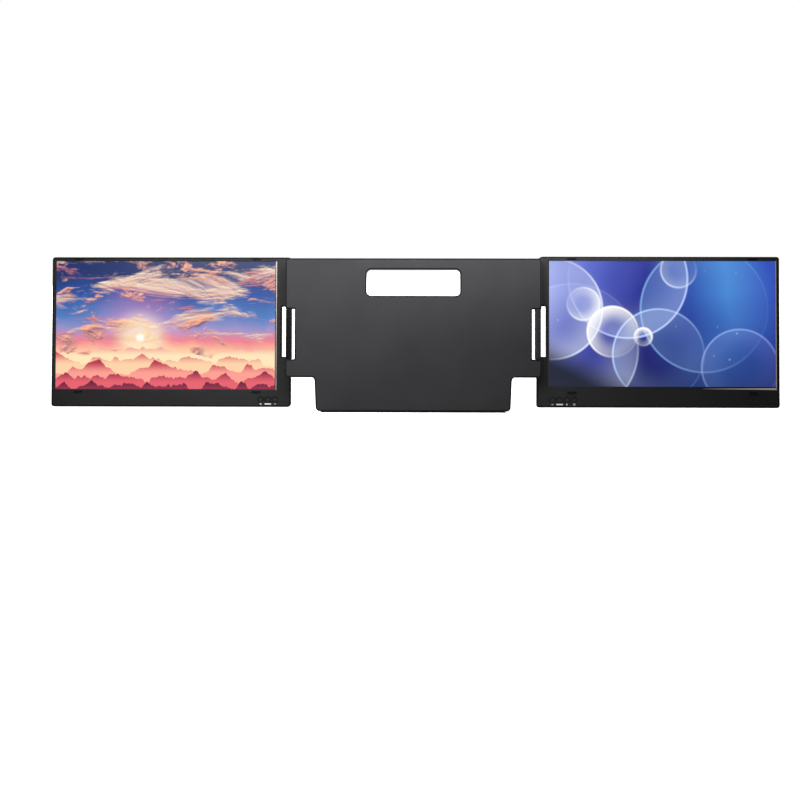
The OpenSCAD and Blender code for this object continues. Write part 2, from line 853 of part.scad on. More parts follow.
// Steel leaf inside the screen, with a barrel at each end of its notch.
module screen_bracket(side) {
    z0 = screen_notch_z - barrel_len;
    z1 = screen_notch_top + barrel_len;
    color(steel) at_screen(side) difference() {
        union() {
            block([0.6, leaf_y0, z0], [40, leaf_y0 + leaf_t, z1]);
            block([-0.6, 0.9, z0], [1.8, leaf_y0 + leaf_t, z1]);
            post(0, 0, barrel_r, z0, z1);
        }
        block(
            [-2 * barrel_r, -2 * barrel_r, screen_notch_z],
            [screen_notch_x + case_wall + 0.4, half_s, screen_notch_top]
        );
        block(
            [barrel_r + 0.4, -cut, screen_notch_z - 2],
            [screen_notch_x + case_wall + 0.4, half_s, screen_notch_top + 2]
        );
        post(0, 0, pin_r + pin_play, 0, plate_h);
        for (p = leaf_screws) stud(p[0], p[1], screw_hole_r, leaf_y0 - cut, half_s);
    }
}

module bracket_screws(side) {
    color(screw_steel) at_screen(side) for (p = leaf_screws) {
        stud(p[0], p[1], screw_r, leaf_y0, half_s - 0.6);
        stud(p[0], p[1], head_r, leaf_y0 - 0.6, leaf_y0);
    }
}

module cover_screws_of(side) {
    color(screw_steel) at_screen(side) for (p = case_bosses)
        screw(p[0], p[1], bezel_in + 0.4, half_s - head_t - slack);
}

// Rubber pads that keep the folded screens apart.
module bumpers(side) {
    x = bumper_w / 2;
    z = bumper_h / 2;
    color(rubber) at_screen(side) slab(-half_s - bumper_proud, -half_s)
        for (middle_x = bumper_xs, middle_z = bumper_zs)
            translate([middle_x, middle_z]) rounded(-x, -z, x, z, z - 0.02);
}

module key(side, i) {
    z = screen_z + key_z;
    proud = 0.2;
    flange_y = bezel_in + slack;
    color(black_plastic) at_screen(side) {
        stud(key_x(i), z, key_d / 2, -half_s - proud, flange_y);
        stud(key_x(i), z, key_d / 2 + 0.9, flange_y, flange_y + 0.6);
        stud(key_x(i), z, 1.2, flange_y + 0.6, switch_y - slack - key_travel);
    }
}

module left_bezel() bezel(LEFT, left_keys);
module right_bezel() bezel(RIGHT, right_keys);
module left_rear_cover() rear_cover(LEFT);
module right_rear_cover() rear_cover(RIGHT);
module left_display_panel() display_panel(LEFT);
module right_display_panel() display_panel(RIGHT);
module left_light_guide() light_guide(LEFT);
module right_light_guide() light_guide(RIGHT);
module left_backlight_tray() backlight_tray(LEFT);
module right_backlight_tray() backlight_tray(RIGHT);
module left_controller_board() controller_board(LEFT);
module right_controller_board() controller_board(RIGHT);
module left_usb_sockets() usb_sockets(LEFT);
module right_usb_sockets() usb_sockets(RIGHT);
module left_hdmi_socket() hdmi_socket(LEFT);
module right_hdmi_socket() hdmi_socket(RIGHT);
module left_key_board() key_board(LEFT, left_keys);
module right_key_board() key_board(RIGHT, right_keys);
module left_display_ribbon() display_ribbon(LEFT);
module right_display_ribbon() display_ribbon(RIGHT);
module left_screen_bracket() screen_bracket(LEFT);
module right_screen_bracket() screen_bracket(RIGHT);
module left_bracket_screws() bracket_screws(LEFT);
module right_bracket_screws() bracket_screws(RIGHT);
module left_cover_screws() cover_screws_of(LEFT);
module right_cover_screws() cover_screws_of(RIGHT);
module left_bumpers() bumpers(LEFT);
module right_bumpers() bumpers(RIGHT);
module left_key_1() key(LEFT, 0);
module left_key_2() key(LEFT, 1);
module left_key_3() key(LEFT, 2);
module right_key_1() key(RIGHT, 0);
module right_key_2() key(RIGHT, 1);
module right_key_3() key(RIGHT, 2);
module right_key_4() key(RIGHT, 3);

// ---------------------------------------------------------------- drawing

plate_front_cover();
plate_rear_cover();
plate_core_sheet();
plate_cover_screws();
left_plate_bracket();
right_plate_bracket();
plate_bracket_screws();
left_plate_pin();
right_plate_pin();
plate_foot_strip();
kickstand_hinge_blocks();
kickstand_block_screws();
kickstand_pins();
kickstand_panel();
kickstand_feet();
left_link();
left_screen_pin();
left_link_washers();
right_link();
right_screen_pin();
right_link_washers();
left_bezel();
left_rear_cover();
left_display_panel();
left_light_guide();
left_backlight_tray();
left_controller_board();
left_usb_sockets();
left_hdmi_socket();
left_key_board();
left_display_ribbon();
left_screen_bracket();
left_bracket_screws();
left_cover_screws();
left_bumpers();
left_key_1();
left_key_2();
left_key_3();
right_bezel();
right_rear_cover();
right_display_panel();
right_light_guide();
right_backlight_tray();
right_controller_board();
right_usb_sockets();
right_hdmi_socket();
right_key_board();
right_display_ribbon();
right_screen_bracket();
right_bracket_screws();
right_cover_screws();
right_bumpers();
right_key_1();
right_key_2();
right_key_3();
right_key_4();
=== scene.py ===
# %% [markdown]
# # Dressing a laptop screen extender
#
# The object is a centre plate that stands on a kickstand, with a portable screen hinged behind each side
# of it. Its solids come from a CAD model and stay where they are. This script gives them softened edges
# and real finishes, adds the small pieces that CAD leaves out, and sets up a plain studio round them.

# %% Load the frame
import json
import math

import bmesh
import bpy
from mathutils import Matrix, Vector


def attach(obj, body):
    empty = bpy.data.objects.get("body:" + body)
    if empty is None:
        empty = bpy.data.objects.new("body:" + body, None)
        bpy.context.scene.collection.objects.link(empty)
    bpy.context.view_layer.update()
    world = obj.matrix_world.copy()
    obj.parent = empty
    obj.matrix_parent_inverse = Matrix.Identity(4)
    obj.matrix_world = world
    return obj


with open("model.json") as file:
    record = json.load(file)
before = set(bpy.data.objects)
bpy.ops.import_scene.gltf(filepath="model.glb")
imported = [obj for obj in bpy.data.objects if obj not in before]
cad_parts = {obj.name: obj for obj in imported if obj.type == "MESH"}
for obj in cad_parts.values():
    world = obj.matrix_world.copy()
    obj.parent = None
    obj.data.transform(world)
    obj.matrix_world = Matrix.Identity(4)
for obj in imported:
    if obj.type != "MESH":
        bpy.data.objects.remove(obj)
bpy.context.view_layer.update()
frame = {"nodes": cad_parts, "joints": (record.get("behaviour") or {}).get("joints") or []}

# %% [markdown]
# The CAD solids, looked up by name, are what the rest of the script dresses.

nodes = frame["nodes"]
print("nodes in the frame:", len(nodes))

# %% [markdown]
# ## An upright drawing board
#
# The extender leans back on its kickstand, so its faces are tilted in the frame. It is far easier to
# place small pieces on an upright drawing board, where x runs right, y runs back and z runs up from the
# plate's lower edge, all in millimetres. The lean is read from the direction of a hinge axis, and the
# board's zero from the plate's front cover, so nothing here repeats a number that the frame already
# holds.

# %% Find the board
MM = 0.001
hinge_axis = Vector(next(j["axis"] for j in frame["joints"] if j["name"] == "left_plate_hinge"))
LEAN = math.atan2(hinge_axis.y, hinge_axis.z)
TIP_BACK = Matrix.Rotation(-LEAN, 4, "X")


def turned_box(node, to_board):
    """Lowest and highest corner of a node's vertices after to_board turns them."""
    points = [to_board @ v.co for v in nodes[node].data.vertices]
    low = Vector([min(p[i] for p in points) for i in range(3)])
    high = Vector([max(p[i] for p in points) for i in range(3)])
    return low, high


plate_low, plate_high = turned_box("plate_front_cover", TIP_BACK.inverted())
BOARD_ZERO = Matrix.Translation((0, plate_high.y, plate_low.z))
TO_FRAME = TIP_BACK @ BOARD_ZERO @ Matrix.Scale(MM, 4)
TO_BOARD = TO_FRAME.inverted()


def board_box(node):
    """A node's box on the upright board, in millimetres."""
    return turned_box(node, TO_BOARD)


print("lean in degrees:", round(math.degrees(LEAN), 2))
print("plate on the board:", [[round(v, 1) for v in corner] for corner in board_box("plate_front_cover")])

# %% [markdown]
# ## Camera
#
# A product view of a flat object wants a long lens held square to its face. The camera stands on the
# board's own axes, about a metre and a half in front of the plate, so the screens show without
# keystoning. Three tiny turns, about a degree and a half at most, stand for a tripod that was set by
# hand. One small function puts any new object into the scene.

# %% Place the camera
CAMERA_DISTANCE = 1500
CAMERA_UP = -25
CAMERA_PITCH = 0.0265
CAMERA_YAW = 0.0113
CAMERA_ROLL = -0.0029
FRAME_PIXELS = 800
FOCAL_PIXELS = 1156


def add_to_scene(name, data):
    """A new object in the scene that shows this data."""
    thing = bpy.data.objects.new(name, data)
    bpy.context.scene.collection.objects.link(thing)
    return thing


camera_data = bpy.data.cameras.new("studio_camera")
camera_data.sensor_width = 36
camera_data.lens = FOCAL_PIXELS / FRAME_PIXELS * camera_data.sensor_width
camera = add_to_scene("studio_camera", camera_data)
aim = Matrix.Rotation(CAMERA_YAW, 4, "Z") @ Matrix.Rotation(CAMERA_PITCH, 4, "X")
aim = aim @ Matrix.Rotation(CAMERA_ROLL, 4, "Y") @ Matrix.Rotation(math.radians(90), 4, "X")
stand_at = TO_FRAME @ Vector((0, -CAMERA_DISTANCE, CAMERA_UP))
camera.matrix_world = Matrix.Translation(stand_at) @ TIP_BACK @ aim
bpy.context.scene.camera = camera
print("camera lens in mm:", round(camera_data.lens, 1), "height in mm:", round(stand_at.z * 1000))

# %% [markdown]
# ## Helpers for materials
#
# Blender works in linear light, while a colour given here is an sRGB hex value, so one function turns one
# into the other. A second function fills the inputs of a node. An input is given a value, a hex colour, a
# socket, or another node, which stands for the first of its outputs that is switched on. A third adds a
# node, sets its options and fills it; the kind is Blender's own name without the ShaderNode in front.
# Blender's Mix node has a set of inputs for each kind of data, so its two colours go by their numbers.
# Pattern sizes are given in millimetres of the real surface, and a texture's scale is how many of them fit
# in a metre.

# %% Colour, node and scale helpers
MIX_A = 6
MIX_B = 7


def linear(hex_colour):
    """An sRGB hex colour such as '3a3b3c' as linear red, green, blue and alpha."""
    channels = [int(hex_colour[i:i + 2], 16) / 255 for i in (0, 2, 4)]
    return [c / 12.92 if c <= 0.04045 else ((c + 0.055) / 1.055) ** 2.4 for c in channels] + [1]


def fill(tree, node, inputs):
    """Gives each input of a node its value or hex colour, or links it to a socket or another node."""
    for key, value in inputs.items():
        if isinstance(value, str):
            value = linear(value)
        if isinstance(value, bpy.types.Node):
            value = next(socket for socket in value.outputs if socket.enabled)
        if isinstance(value, bpy.types.NodeSocket):
            tree.links.new(value, node.inputs[key])
        else:
            node.inputs[key].default_value = value


def add_node(tree, kind, inputs=None, **settings):
    """Adds a node, sets its options and fills its inputs."""
    node = tree.nodes.new("ShaderNode" + kind)
    for key, value in settings.items():
        setattr(node, key, value)
    fill(tree, node, inputs or {})
    return node


def per_metre(size_mm):
    """Texture scale at which one feature is about size_mm across."""
    return 1000 / size_mm


def start_material(name):
    """A new material: its node tree, its shader and the object coordinates that its patterns follow."""
    material = bpy.data.materials.new(name)
    material.use_nodes = True
    tree = material.node_tree
    shader = tree.nodes["Principled BSDF"]
    coords = add_node(tree, "TexCoord").outputs["Object"]
    return material, tree, shader, coords


print("linear value of mid grey 808080:", round(linear("808080")[0], 3))

# %% [markdown]
# ## Moulded plastic
#
# The plate and the casings are injection-moulded ABS. The mould is spark-eroded, which leaves a fine matt
# grain, and the resin's pigment drifts a little from place to place. A noise at the grain's size drives
# the bump and the roughness, so the surface glows softly where light grazes it, and together with a
# broader noise it drives the tone. ABS has an IOR of about 1.53. The true grain is about a fifth of a
# millimetre, too fine to show at this distance, so it is drawn at 0.5 to 0.9 mm. The specular level of
# the plastic, the paint and the rubber is far below the usual 0.5. It was lowered to keep the blacks deep
# under a lamp that hangs so close.
#
# A band along every edge is turned to a nearly black tone: painted shade, a dark contour along the edges,
# while the bump and roughness keep their grain. The Bevel node finds the part of it that goes round the
# edge: it gives the normal that a rounded edge would have, and where that differs from the true normal, an
# edge is near. The band that it marks is a little under half of its radius. Round the display windows no
# shade is painted, so a finish can be given a box on the board inside which no band is drawn. The box is the
# same on both sides of the extender.

# %% Moulded plastic recipe
# Colour of the painted shade along the edges.
EDGE_SHADE_TONE = "19191a"
WINDOW_ZONE = ((175, 20.5), (473.9, 201))
BAND_STARTS_COSINE = 0.997
BAND_FULL_COSINE = 0.95
PIGMENT_DRIFT_MM = 60
GRAIN_SHARE = 0.35


def near_edge(tree, radius_mm):
    """Rises from 0 on flat ground to 1 at an edge."""
    rounded = add_node(tree, "Bevel", {"Radius": radius_mm * MM}, samples=4)
    true = add_node(tree, "NewGeometry")
    same = add_node(
        tree, "VectorMath", {0: rounded, 1: true.outputs["True Normal"]}, operation="DOT_PRODUCT",
    )
    return add_node(
        tree, "MapRange", {"Value": same, "From Min": BAND_STARTS_COSINE, "From Max": BAND_FULL_COSINE},
    )


def outside_zone(tree, coords, zone):
    """1 outside a box of distances from the board's middle line and heights, 0 inside it."""
    (x0, z0), (x1, z1) = zone
    board = add_node(
        tree, "Mapping",
        {"Vector": coords, "Location": TO_BOARD.translation, "Rotation": (LEAN, 0, 0),
         "Scale": (1 / MM, 1 / MM, 1 / MM)},
    )
    place = add_node(tree, "SeparateXYZ", {"Vector": board})
    distance = add_node(tree, "Math", {0: place.outputs["X"]}, operation="ABSOLUTE")
    in_width = add_node(
        tree, "Math", {0: distance, 1: (x0 + x1) / 2, 2: (x1 - x0) / 2}, operation="COMPARE",
    )
    in_height = add_node(
        tree, "Math", {0: place.outputs["Z"], 1: (z0 + z1) / 2, 2: (z1 - z0) / 2}, operation="COMPARE",
    )
    both = add_node(tree, "Math", {0: in_width, 1: in_height}, operation="MULTIPLY")
    return add_node(tree, "Math", {0: 1, 1: both}, operation="SUBTRACT")


def moulded_plastic(name, dark, light, roughness, grain_mm, grain_depth_mm, band_mm, unshaded_zone=None):
    """Pigmented ABS from a spark-eroded mould, with painted shade along its edges outside the unshaded zone.
    """
    material, tree, shader, coords = start_material(name)
    band = near_edge(tree, band_mm)
    if unshaded_zone:
        allowed = outside_zone(tree, coords, unshaded_zone)
        band = add_node(tree, "Math", {0: band, 1: allowed}, operation="MULTIPLY")
    fine = add_node(tree, "TexNoise", {"Vector": coords, "Scale": per_metre(grain_mm), "Detail": 3})
    broad = add_node(tree, "TexNoise", {"Vector": coords, "Scale": per_metre(PIGMENT_DRIFT_MM), "Detail": 2})
    blend = add_node(tree, "Math", {0: fine, 1: GRAIN_SHARE, 2: broad}, operation="MULTIPLY_ADD")
    tone = add_node(tree, "MapRange", {"Value": blend, "From Min": 0.4, "From Max": 0.95})
    grained = add_node(tree, "Mix", {0: tone, MIX_A: dark, MIX_B: light}, data_type="RGBA")
    # Near an edge the colour turns to the painted shade.
    colour = add_node(tree, "Mix", {0: band, MIX_A: grained, MIX_B: EDGE_SHADE_TONE}, data_type="RGBA")
    sheen = add_node(
        tree, "MapRange",
        {"Value": fine, "From Min": 0.25, "From Max": 0.75,
         "To Min": roughness - 0.05, "To Max": roughness + 0.07},
    )
    bump = add_node(tree, "Bump", {"Height": fine, "Strength": 0.5, "Distance": grain_depth_mm * MM})
    fill(tree, shader, {
        "Base Color": colour, "Roughness": sheen, "Normal": bump, "IOR": 1.53, "Specular IOR Level": 0.04,
    })
    return material


abs_charcoal_plate = moulded_plastic("abs_charcoal_plate", "353537", "3b3b3d", 0.6, 0.9, 0.05, 1.3)
abs_black_bezel = moulded_plastic("abs_black_bezel", "2e2e2f", "333334", 0.55, 0.6, 0.02, 1.3, WINDOW_ZONE)
abs_black_casing = moulded_plastic("abs_black_casing", "2a2a2c", "333335", 0.6, 0.8, 0.08, 1.3)
abs_black_keys = moulded_plastic("abs_black_keys", "313132", "363637", 0.5, 0.5, 0.01, 1.6)
# The dark films of painted edge shade are made of this nearly black plastic.
abs_painted_edge_shade = moulded_plastic("abs_painted_edge_shade", "151516", "1a1a1b", 0.5, 0.5, 0.005, 0.1)
print("moulded plastics:", abs_charcoal_plate.name, abs_black_bezel.name, abs_black_casing.name)

# %% [markdown]
# ## Paint on cast metal
#
# The hinge links and the kickstand's hinge blocks are zinc castings with a baked satin paint. Sprayed
# paint never dries quite flat: it keeps an orange peel of shallow waves about a millimetre long, and that
# breaks up the highlight along an edge. The paint's binder has an IOR of about 1.5.

# %% Satin paint
def satin_paint(name, dark, light, roughness):
    """Baked paint with orange peel over a casting."""
    material, tree, shader, coords = start_material(name)
    peel = add_node(tree, "TexNoise", {"Vector": coords, "Scale": per_metre(1.4), "Detail": 1})
    drift = add_node(tree, "TexNoise", {"Vector": coords, "Scale": per_metre(18), "Detail": 3})
    tone = add_node(tree, "Mix", {0: drift, MIX_A: dark, MIX_B: light}, data_type="RGBA")
    bump = add_node(tree, "Bump", {"Height": peel, "Strength": 0.4, "Distance": 0.05 * MM})
    sheen = add_node(
        tree, "MapRange", {"Value": drift, "To Min": roughness - 0.06, "To Max": roughness + 0.06},
    )
    fill(tree, shader, {
        "Base Color": tone, "Roughness": sheen, "Normal": bump, "IOR": 1.5, "Specular IOR Level": 0.02,
    })
    return material


# This black paint is darkened to paint the shade on the left link, and every casting that wears it shares
# that.
satin_black_painted_shade_casting = satin_paint("satin_black_painted_shade_casting", "111113", "1d1d1f", 0.6)
# The right link gets a lighter copy of the same paint: painted light. The right link looks
# greyer. Whether paint or light does that is unknown; here it is paint.
satin_painted_light_casting = satin_paint("satin_painted_light_casting", "28282a", "37373a", 0.6)
print("paints:", satin_black_painted_shade_casting.name, satin_painted_light_casting.name)

# %% [markdown]
# ## Metals
#
# The metals share one recipe, because they differ in only a few things: the colour, how rough the last
# machining step left them, and how far its marks are drawn out along one direction. A ground pin has fine
# rings across it, rolled sheet has long streaks, and bead-blasted aluminium has pits with no direction at
# all. The marks are stretched by scaling the coordinates before the noise is read. Most real marks are
# finer than these, which are drawn coarse enough to show. A metal keeps the default IOR, and its colour
# is its reflection.

# %% Metal recipe
def worked_metal(name, dark, light, roughness, mark_mm, depth_mm):
    """Bare or anodised metal whose marks have the size mark_mm along x, y and z."""
    material, tree, shader, coords = start_material(name)
    stretched = add_node(
        tree, "Mapping", {"Vector": coords, "Scale": [per_metre(size) for size in mark_mm]},
    )
    marks = add_node(tree, "TexNoise", {"Vector": stretched, "Scale": 1, "Detail": 3, "Roughness": 0.6})
    handling = add_node(tree, "TexNoise", {"Vector": coords, "Scale": per_metre(25), "Detail": 4})
    tone = add_node(tree, "Mix", {0: marks, MIX_A: dark, MIX_B: light}, data_type="RGBA")
    sheen = add_node(
        tree, "MapRange",
        {"Value": handling, "From Min": 0.3, "From Max": 0.7,
         "To Min": roughness - 0.02, "To Max": roughness + 0.03},
    )
    bump = add_node(tree, "Bump", {"Height": marks, "Strength": 0.35, "Distance": depth_mm * MM})
    fill(tree, shader, {"Base Color": tone, "Roughness": sheen, "Normal": bump, "Metallic": 1})
    return material


anodised_charcoal_stand = worked_metal(
    "anodised_charcoal_stand", "3b3c3f", "4b4c50", 0.46, (0.7, 0.7, 0.7), 0.03,
)
rolled_aluminium_sheet = worked_metal("rolled_aluminium_sheet", "9fa1a3", "b9bbbd", 0.35, (40, 1, 1), 0.02)
ground_hinge_steel = worked_metal("ground_hinge_steel", "77797c", "96989a", 0.3, (3, 3, 0.4), 0.02)
blackened_screw_steel = worked_metal("blackened_screw_steel", "1f1f21", "343436", 0.4, (0.4, 0.4, 0.4), 0.02)
plated_socket_shell = worked_metal("plated_socket_shell", "8f9091", "b1b2b3", 0.24, (6, 0.5, 0.5), 0.01)
gold_contact_plating = worked_metal("gold_contact_plating", "c89b45", "dcb767", 0.25, (2, 0.3, 0.3), 0.005)
print("metals:", anodised_charcoal_stand.name, ground_hinge_steel.name, plated_socket_shell.name)

# %% [markdown]
# ## Rubber
#
# The bumpers, the feet and the strip that the plate stands on are moulded silicone rubber. It is nearly
# black, it has almost no highlight, and it always holds a little pale dust in its pits, which is what
# tells the eye that it is soft. The dust is a high-contrast noise laid over the black, drawn coarser than
# real dust so that it shows.

# %% Silicone rubber
moulded_silicone, tree, shader, coords = start_material("moulded_silicone")
pits = add_node(tree, "TexNoise", {"Vector": coords, "Scale": per_metre(0.8), "Detail": 4})
dust = add_node(tree, "MapRange", {"Value": pits, "From Min": 0.52, "From Max": 0.75, "To Max": 0.4})
rubber_tone = add_node(tree, "Mix", {0: dust, MIX_A: "161616", MIX_B: "333332"}, data_type="RGBA")
rubber_bump = add_node(tree, "Bump", {"Height": pits, "Strength": 0.6, "Distance": 0.06 * MM})
rubber_sheen = add_node(tree, "MapRange", {"Value": pits, "To Min": 0.68, "To Max": 0.86})
fill(tree, shader, {
    "Base Color": rubber_tone, "Roughness": rubber_sheen, "Normal": rubber_bump, "IOR": 1.42,
    "Specular IOR Level": 0.1,
})
print("rubber:", moulded_silicone.name)

# %% [markdown]
# ## What is inside
#
# Little of the inside shows, and only through the vents and the sockets, yet each piece gets its own
# finish. The display is glass with a black printed border and an anti-glare film, whose etch is far finer
# than the half millimetre at which it is drawn. The light guide is clear acrylic with rows of laser dots
# that let the light out. Circuit boards are glass-epoxy under a green solder mask, through which the
# copper tracks show as paler lines, and the flat ribbon is amber polyimide over straight conductors.

# %% Display glass and light guide
film_on_glass, tree, shader, coords = start_material("film_on_glass")
etch = add_node(tree, "TexNoise", {"Vector": coords, "Scale": per_metre(0.5), "Detail": 2})
border = add_node(tree, "Mix", {0: etch, MIX_A: "070708", MIX_B: "0d0d0f"}, data_type="RGBA")
haze = add_node(tree, "MapRange", {"Value": etch, "To Min": 0.22, "To Max": 0.36})
fill(tree, shader, {"Base Color": border, "Roughness": haze, "IOR": 1.5})

clear_acrylic_guide, tree, shader, coords = start_material("clear_acrylic_guide")
dots = add_node(tree, "TexVoronoi", {"Vector": coords, "Scale": per_metre(1.5), "Randomness": 0.2})
etched = add_node(
    tree, "MapRange", {"Value": dots, "From Min": 0.25, "From Max": 0.3, "To Min": 0.7, "To Max": 0.08},
)
guide_tone = add_node(tree, "Mix", {0: etched, MIX_A: "dfe6ea", MIX_B: "f4f6f7"}, data_type="RGBA")
fill(tree, shader, {
    "Base Color": guide_tone, "Roughness": etched, "IOR": 1.49, "Transmission Weight": 0.6,
})
print("inside:", film_on_glass.name, clear_acrylic_guide.name)

# %% Solder mask and polyimide
solder_mask_board, tree, shader, coords = start_material("solder_mask_board")
tracks = add_node(
    tree, "TexBrick",
    {"Vector": coords, "Scale": per_metre(10), "Mortar Size": 0.03, "Mortar Smooth": 0.2,
     "Color1": "0f3a22", "Color2": "11402a", "Mortar": "2f6b45"},
)
mask_bump = add_node(
    tree, "Bump", {"Height": tracks.outputs["Fac"], "Strength": 0.5, "Distance": 0.03 * MM},
)
fill(tree, shader, {"Base Color": tracks, "Normal": mask_bump, "Roughness": 0.35, "IOR": 1.55})

amber_polyimide_ribbon, tree, shader, coords = start_material("amber_polyimide_ribbon")
conductors = add_node(tree, "TexWave", {"Vector": coords, "Scale": per_metre(3.2), "Distortion": 0})
ribbon_tone = add_node(
    tree, "Mix", {0: conductors.outputs["Fac"], MIX_A: "8a4d16", MIX_B: "c98b3c"}, data_type="RGBA",
)
fill(tree, shader, {"Base Color": ribbon_tone, "Roughness": 0.32, "IOR": 1.7})
print("boards:", solder_mask_board.name, amber_polyimide_ribbon.name)

# %% [markdown]
# ## Give each solid its finish
#
# Every CAD solid arrives with one material slot, named in the frame's record. A table from slot to finish
# dresses them all, and the right link then gets a lighter copy of its paint, which is painted light.

# %% Dress the solids
FINISHES = {
    "plate_charcoal": abs_charcoal_plate,
    "case_black": abs_black_casing,
    "bezel_black": abs_black_bezel,
    "key_black": abs_black_keys,
    "painted_hinge": satin_black_painted_shade_casting,
    "stand_aluminium": anodised_charcoal_stand,
    "core_aluminium": rolled_aluminium_sheet,
    "hinge_steel": ground_hinge_steel,
    "dark_screws": blackened_screw_steel,
    "socket_steel": plated_socket_shell,
    "rubber": moulded_silicone,
    "left_display_glass": film_on_glass,
    "right_display_glass": film_on_glass,
    "light_guide_acrylic": clear_acrylic_guide,
    "circuit_board": solder_mask_board,
    "ribbon_film": amber_polyimide_ribbon,
}
slot_of = {name: node.material_slots[0].material.name for name, node in nodes.items()}
for name, node in nodes.items():
    node.material_slots[0].material = FINISHES[slot_of[name]]
# The lighter copy of the paint is painted light on the right link.
nodes["right_link"].material_slots[0].material = satin_painted_light_casting
print("dressed", len(slot_of), "solids in", len(set(slot_of.values())), "finishes")

# %% [markdown]
# ## Soften the edges
#
# No moulded, cast or cut edge is perfectly sharp, and it is the thin highlight along the edge that makes
# a thing look real. The edges could be rounded by hand, but a Bevel modifier does all of them and leaves
# the CAD mesh itself alone. The solids arrive as separate triangles, so doubled vertices are welded
# first, and the bevel then runs clean along each edge. Loop slide is off, because it would drag corners
# along the long thin triangles of a flat face. The width is the real one for how the part was made.

# %% Soften
BEVEL_MM = {
    "plate_charcoal": 0.55,
    "case_black": 0.5,
    "bezel_black": 0.45,
    "key_black": 0.15,
    "painted_hinge": 0.4,
    "stand_aluminium": 0.4,
    "core_aluminium": 0.1,
    "hinge_steel": 0.12,
    "dark_screws": 0.06,
    "socket_steel": 0.06,
    "rubber": 0.2,
}
WELD_MM = 0.002
SHARP_DEGREES = 35


def soften(node, width_mm):
    """Adds the modifiers that round a solid's sharp edges."""
    weld = node.modifiers.new("join_doubles", "WELD")
    weld.merge_threshold = WELD_MM * MM
    bevel = node.modifiers.new("edge_radius", "BEVEL")
    bevel.width = width_mm * MM
    bevel.segments = 3
    bevel.angle_limit = math.radians(SHARP_DEGREES)
    bevel.use_clamp_overlap = False
    bevel.loop_slide = False
    shading = node.modifiers.new("even_shading", "WEIGHTED_NORMAL")
    shading.keep_sharp = True


softened = [name for name in nodes if slot_of[name] in BEVEL_MM]
for name in softened:
    soften(nodes[name], BEVEL_MM[slot_of[name]])
print("softened", len(softened), "solids")

# %% [markdown]
# ## Small pieces on the drawing board
#
# The pieces that CAD leaves out are drawn here: the lit pictures, the trims round the windows and the
# marks under the keys. They are built straight from vertices with bmesh, on the upright board in
# millimetres, and turned into the frame at the end. Each is a closed solid, so that it survives being
# printed or exported.

# %% Piece builder
def close_piece(name, bm, body, material):
    """Turns a bmesh drawn on the board into an object that rides on a body of the frame."""
    bmesh.ops.recalc_face_normals(bm, faces=bm.faces)
    bm.transform(TO_FRAME)
    mesh = bpy.data.meshes.new(name)
    bm.to_mesh(mesh)
    bm.free()
    mesh.materials.append(material)
    piece = add_to_scene(name, mesh)
    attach(piece, body)
    return piece


def stack_rings(bm, rings, closed=False):
    """Skins a row of point rings that all have the same count. Not closed, the ends are capped."""
    levels = [[bm.verts.new(point) for point in ring] for ring in rings]
    count = len(levels[0])
    pairs = list(zip(levels, levels[1:]))
    if closed:
        pairs.append((levels[-1], levels[0]))
    for near, far in pairs:
        for i in range(count):
            bm.faces.new((near[i], near[(i + 1) % count], far[(i + 1) % count], far[i]))
    if not closed:
        bm.faces.new(levels[0])
        bm.faces.new(levels[-1])


def rectangle(low, high, grow, y):
    """Four corners of an upright rectangle, grown by an amount, at a depth y."""
    x0, x1 = low.x - grow, high.x + grow
    z0, z1 = low.z - grow, high.z + grow
    return [(x0, y, z0), (x1, y, z0), (x1, y, z1), (x0, y, z1)]


print("piece builder ready")

# %% [markdown]
# The lit picture is smaller than the panel of glass behind it: the panel has a black border of 2.5 mm,
# and 6.5 mm at its lower edge, where the ribbon is bonded on. The window in the bezel shows 1.1 mm of
# that border.

# %% Measure the pictures
SIDES = ("left", "right")
PANEL_BORDER = 2.5
PANEL_CHIN = 6.5
WINDOW_GAP = 1.1

pictures = {}
for side in SIDES:
    low, high = board_box(side + "_display_panel")
    low = Vector((low.x + PANEL_BORDER, low.y, low.z + PANEL_CHIN))
    high = Vector((high.x - PANEL_BORDER, low.y, high.z - PANEL_BORDER))
    pictures[side] = (low, high)
    wide, tall = high.x - low.x, high.z - low.z
    print(side, "picture in mm:", round(wide, 1), "by", round(tall, 1), "at depth", round(low.y, 1))

# %% [markdown]
# ## The left picture: dusk over mountain ridges
#
# A display is a lamp with a picture in front of it, so the picture is the emission colour of the film,
# and emission at strength 1 shows each colour as it is written. The scene is made from the shader's own
# noise, with no image: a sky that runs from deep blue down to cream, torn clouds that are lit from below
# by a low sun, and five mountain ridges with mist between them. The coordinates are the film's UVs,
# stretched to the picture's shape, so one unit is the height of the picture.

# %% Picture helpers
shapes = {side: (high.x - low.x) / (high.z - low.z) for side, (low, high) in pictures.items()}


def set_stops(ramp_node, stops):
    """Puts colour stops, as pairs of place and hex colour, on a ramp."""
    elements = ramp_node.color_ramp.elements
    while len(elements) < len(stops):
        elements.new(0.5)
    for element, (place, hex_colour) in zip(elements, stops):
        element.position = place
        element.color = linear(hex_colour)


def start_picture(name, side):
    """A lit film for one side: its material, node tree, shader and picture coordinates."""
    material, tree, shader, _ = start_material(name)
    uv = add_node(tree, "TexCoord").outputs["UV"]
    flat = add_node(tree, "Mapping", {"Vector": uv, "Scale": (shapes[side], 1, 1)})
    haze = add_node(tree, "TexNoise", {"Vector": flat, "Scale": 300})
    sheen = add_node(tree, "MapRange", {"Value": haze, "To Min": 0.3, "To Max": 0.42})
    fill(tree, shader, {
        "Base Color": "020203", "Roughness": sheen, "IOR": 1.5, "Specular IOR Level": 0.2,
        "Emission Strength": 1,
    })
    return material, tree, shader, flat


print("pictures are", [round(shape, 3) for shape in shapes.values()], "heights wide")

